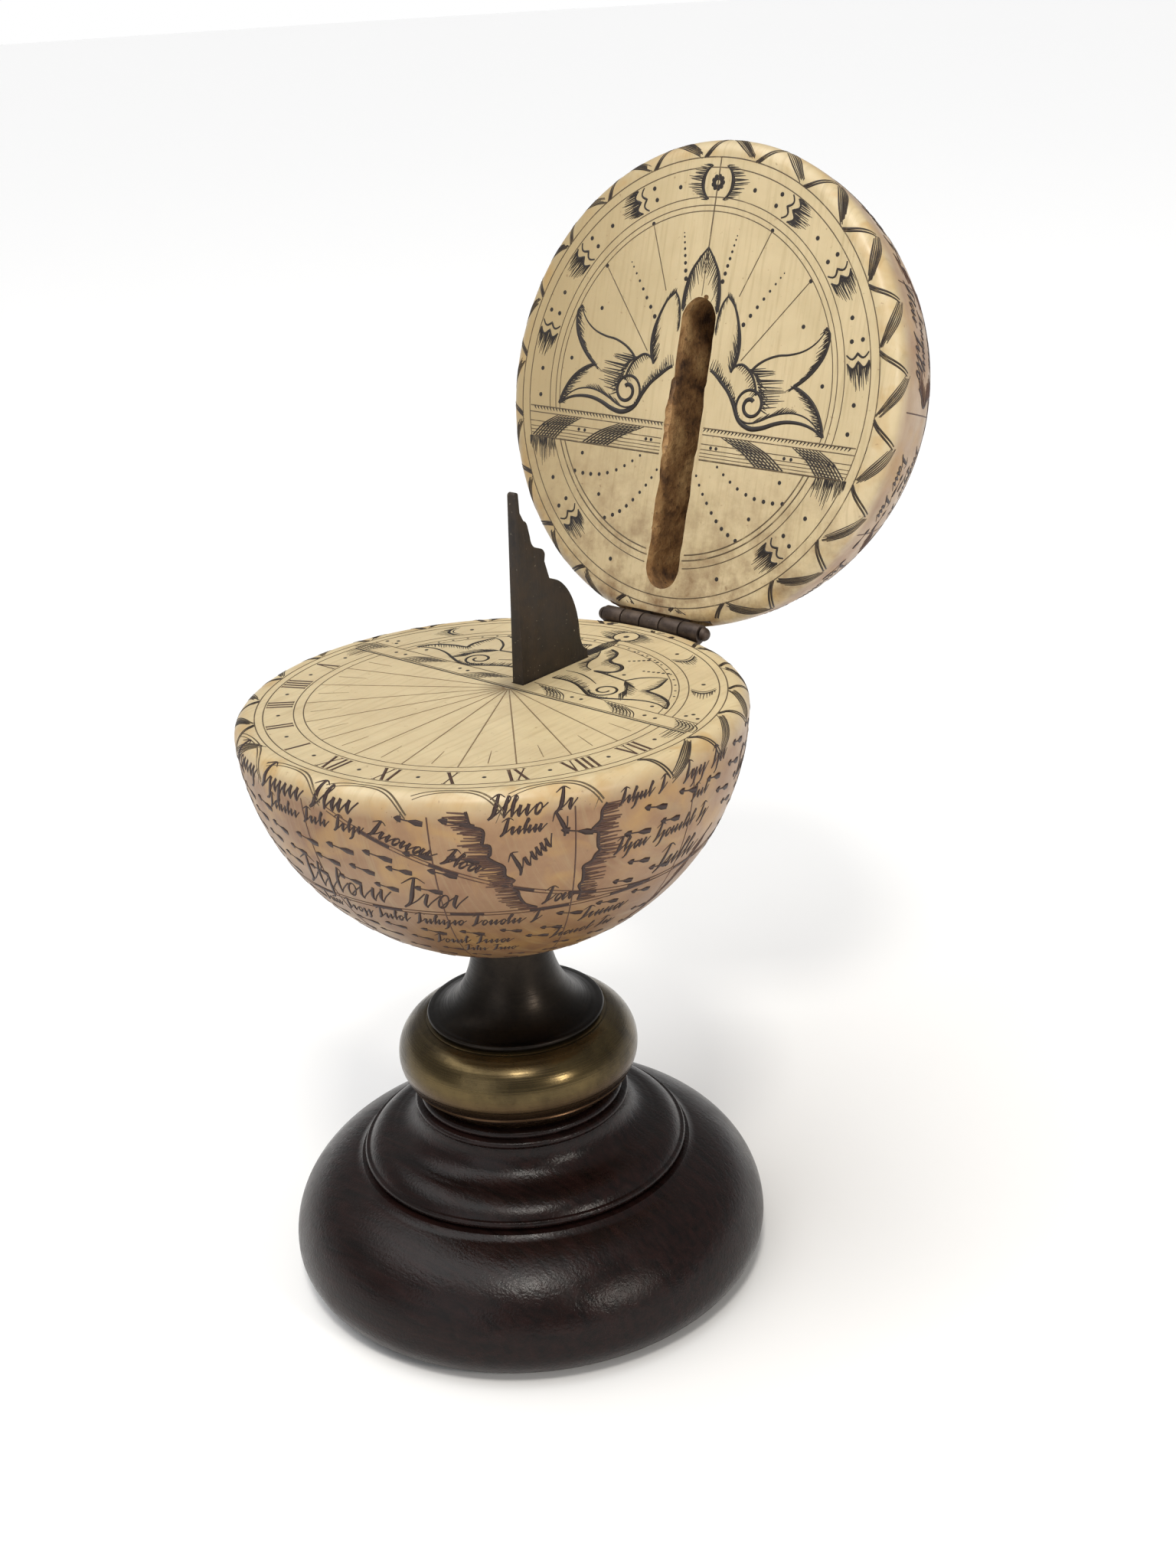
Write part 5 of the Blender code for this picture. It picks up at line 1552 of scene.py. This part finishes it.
drawMap("lid_map", "lid", 61, 1, [
    ([(52, 12), (56, 18), (60, 22), (58, 28), (63, 34), (70, 37)], (1, 0.2)),
    ([(84, 14), (88, 19), (86, 25), (92, 30), (97, 37), (95, 44)], (-1, 0)),
    ([(118, 16), (124, 22), (120, 30), (127, 36)], (1, 0)),
    ([(20, 16), (16, 24), (22, 32), (18, 40), (25, 46)], (-1, 0)),
    ([(160, 20), (168, 27), (163, 36), (170, 44)], (1, 0)),
    ([(232, 14), (226, 21), (233, 28), (229, 38)], (-1, 0)),
    ([(290, 16), (297, 24), (292, 33), (300, 42)], (1, 0)),
], [
    ((60, 11.5), 0, 22, 1.2, 0.32), ((66, 16.5), 0, 15, 1.0, 0.28), ((30, 12.0), 0, 19, 1.1, 0.3),
    ((64, 24.0), 0, 18, 1.0, 0.28), ((100, 12.0), 0, 15, 1.0, 0.28), ((28, 23.0), 0, 22, 1.5, 0.34),
    ((98, 22.0), 0, 18, 1.0, 0.28), ((66, 42.0), 0, 22, 1.2, 0.3), ((26, 40.0), 0, 28, 1.1, 0.3),
    ((104, 40.0), 0, 22, 1.1, 0.3), ((130, 13.0), 0, 26, 1.2, 0.3), ((174, 24.0), 0, 34, 1.9, 0.36),
    ((176, 40.0), 0, 30, 1.2, 0.3), ((238, 20.0), 0, 34, 1.4, 0.34), ((240, 41.0), 0, 26, 1.1, 0.3),
    ((304, 18.0), 0, 38, 1.5, 0.34), ((306, 38.0), 0, 30, 1.1, 0.3), ((340, 26.0), 0, 20, 1.2, 0.3),
], (8.0, 80))
print("map engraved")


def setStage():
    floorMaterial, tree, shader = newMaterial("palePaperFloor")
    # matt white paper, with a faint unevenness
    place = addNode(tree, "ShaderNodeTexCoord").outputs["Object"]
    fibre = addNode(tree, "ShaderNodeTexNoise", inputs={"Vector": place, "Scale": 1 / (40 * mm), "Detail": 3.0})
    near = addNode(tree, "ShaderNodeMix", rgb, {
        0: fibre.outputs["Fac"], 6: linear("F0F0EF"), 7: linear("F4F4F4")}).outputs[2]
    away = addNode(tree, "ShaderNodeVectorMath", {"operation": "LENGTH"}, {0: place}).outputs["Value"]
    share = addNode(tree, "ShaderNodeMapRange", inputs={
        "Value": away, "From Min": 150 * mm, "From Max": 500 * mm}).outputs[0]
    colour = addNode(tree, "ShaderNodeMix", rgb, {0: share, 6: near, 7: linear("FFFFFF")}).outputs[2]
    tree.links.new(colour, shader.inputs["Base Color"])
    shader.inputs["Roughness"].default_value = 0.9
    shader.inputs["Specular IOR Level"].default_value = 0.1
    shape = bmesh.new()
    bmesh.ops.create_circle(shape, cap_ends=True, segments=96, radius=4000.0)
    floor = toObject("paper_floor", shape, floorMaterial)
    world = bpy.data.worlds.new("softRoom")
    world.use_nodes = True
    nodes = world.node_tree
    direction = addNode(nodes, "ShaderNodeTexCoord").outputs["Generated"]
    height = addNode(nodes, "ShaderNodeSeparateXYZ", inputs={0: direction}).outputs["Z"]
    strength = addNode(nodes, "ShaderNodeMapRange", inputs={      # pale wall low down, dimmer room above
        "Value": height, "From Min": 0.05, "From Max": 0.14, "To Min": 1.0, "To Max": 0.34}).outputs[0]
    nodes.links.new(strength, nodes.nodes["Background"].inputs["Strength"])
    nodes.nodes["Background"].inputs["Color"].default_value = (1.0, 1.0, 1.0, 1.0)
    bpy.context.scene.world = world
    sky = bpy.data.lights.new("skylight", "SUN")
    sky.energy, sky.angle = 2.0, radians(60)
    skyLamp = bpy.data.objects.new("skylight", sky)
    skyLamp.rotation_euler = (radians(10), radians(-14), 0)
    bpy.context.scene.collection.objects.link(skyLamp)
    lamps = [   # name, place, aim, size across and up, power, colour
        ("windowRight", (550, -60, 290), (0, 0, 45), (80, 80), 0.95, "FFF8EE"),
        ("ceilingLamp", (205, -225, 560), (0, 0, 20), (90, 90), 1.3, "FFFAF2"),
        ("fillFront", (40, -620, 300), (0, 20, 70), (420, 420), 0.6, "FAFBFF"),
    ]
    for name, at, aim, size, power, tint in lamps:
        data = bpy.data.lights.new(name, "AREA")
        data.shape = "RECTANGLE"
        data.size, data.size_y = size[0] * mm, size[1] * mm
        data.energy = power
        data.color = linear(tint)[:3]
        lamp = bpy.data.objects.new(name, data)
        lamp.location = Vector(at) * mm
        lamp.rotation_euler = (Vector(aim) - Vector(at)).to_track_quat("-Z", "Y").to_euler()
        bpy.context.scene.collection.objects.link(lamp)


def setCamera():
    view = {"azimuth": 42.213, "elevation": 22.928, "roll": -3.358, "across": 9.494, "up": -8.771,
            "back": 197.594, "lens": 46.06}
    a, e, turn = (radians(view[key]) for key in ("azimuth", "elevation", "roll"))
    back = Vector((sin(a) * cos(e), -cos(a) * cos(e), sin(e)))
    right = Vector((cos(a), sin(a), 0))
    up = back.cross(right)
    tiltedRight = right * cos(turn) + up * sin(turn)
    tiltedUp = up * cos(turn) - right * sin(turn)
    data = bpy.data.cameras.new("deskCamera")
    data.lens, data.sensor_width, data.sensor_fit = view["lens"], 36.0, "AUTO"
    data.clip_start, data.clip_end = 0.01, 20.0
    camera = bpy.data.objects.new("deskCamera", data)
    at = Vector((0, 0, faceHeight)) + view["across"] * tiltedRight + view["up"] * tiltedUp + view["back"] * back
    axes = Matrix((tiltedRight, tiltedUp, back)).transposed().to_4x4()
    camera.matrix_world = Matrix.Translation(at * mm) @ axes
    bpy.context.scene.collection.objects.link(camera)
    bpy.context.scene.camera = camera


setStage()
setCamera()
bpy.context.scene.view_settings.view_transform = "Standard"
print("stage set")
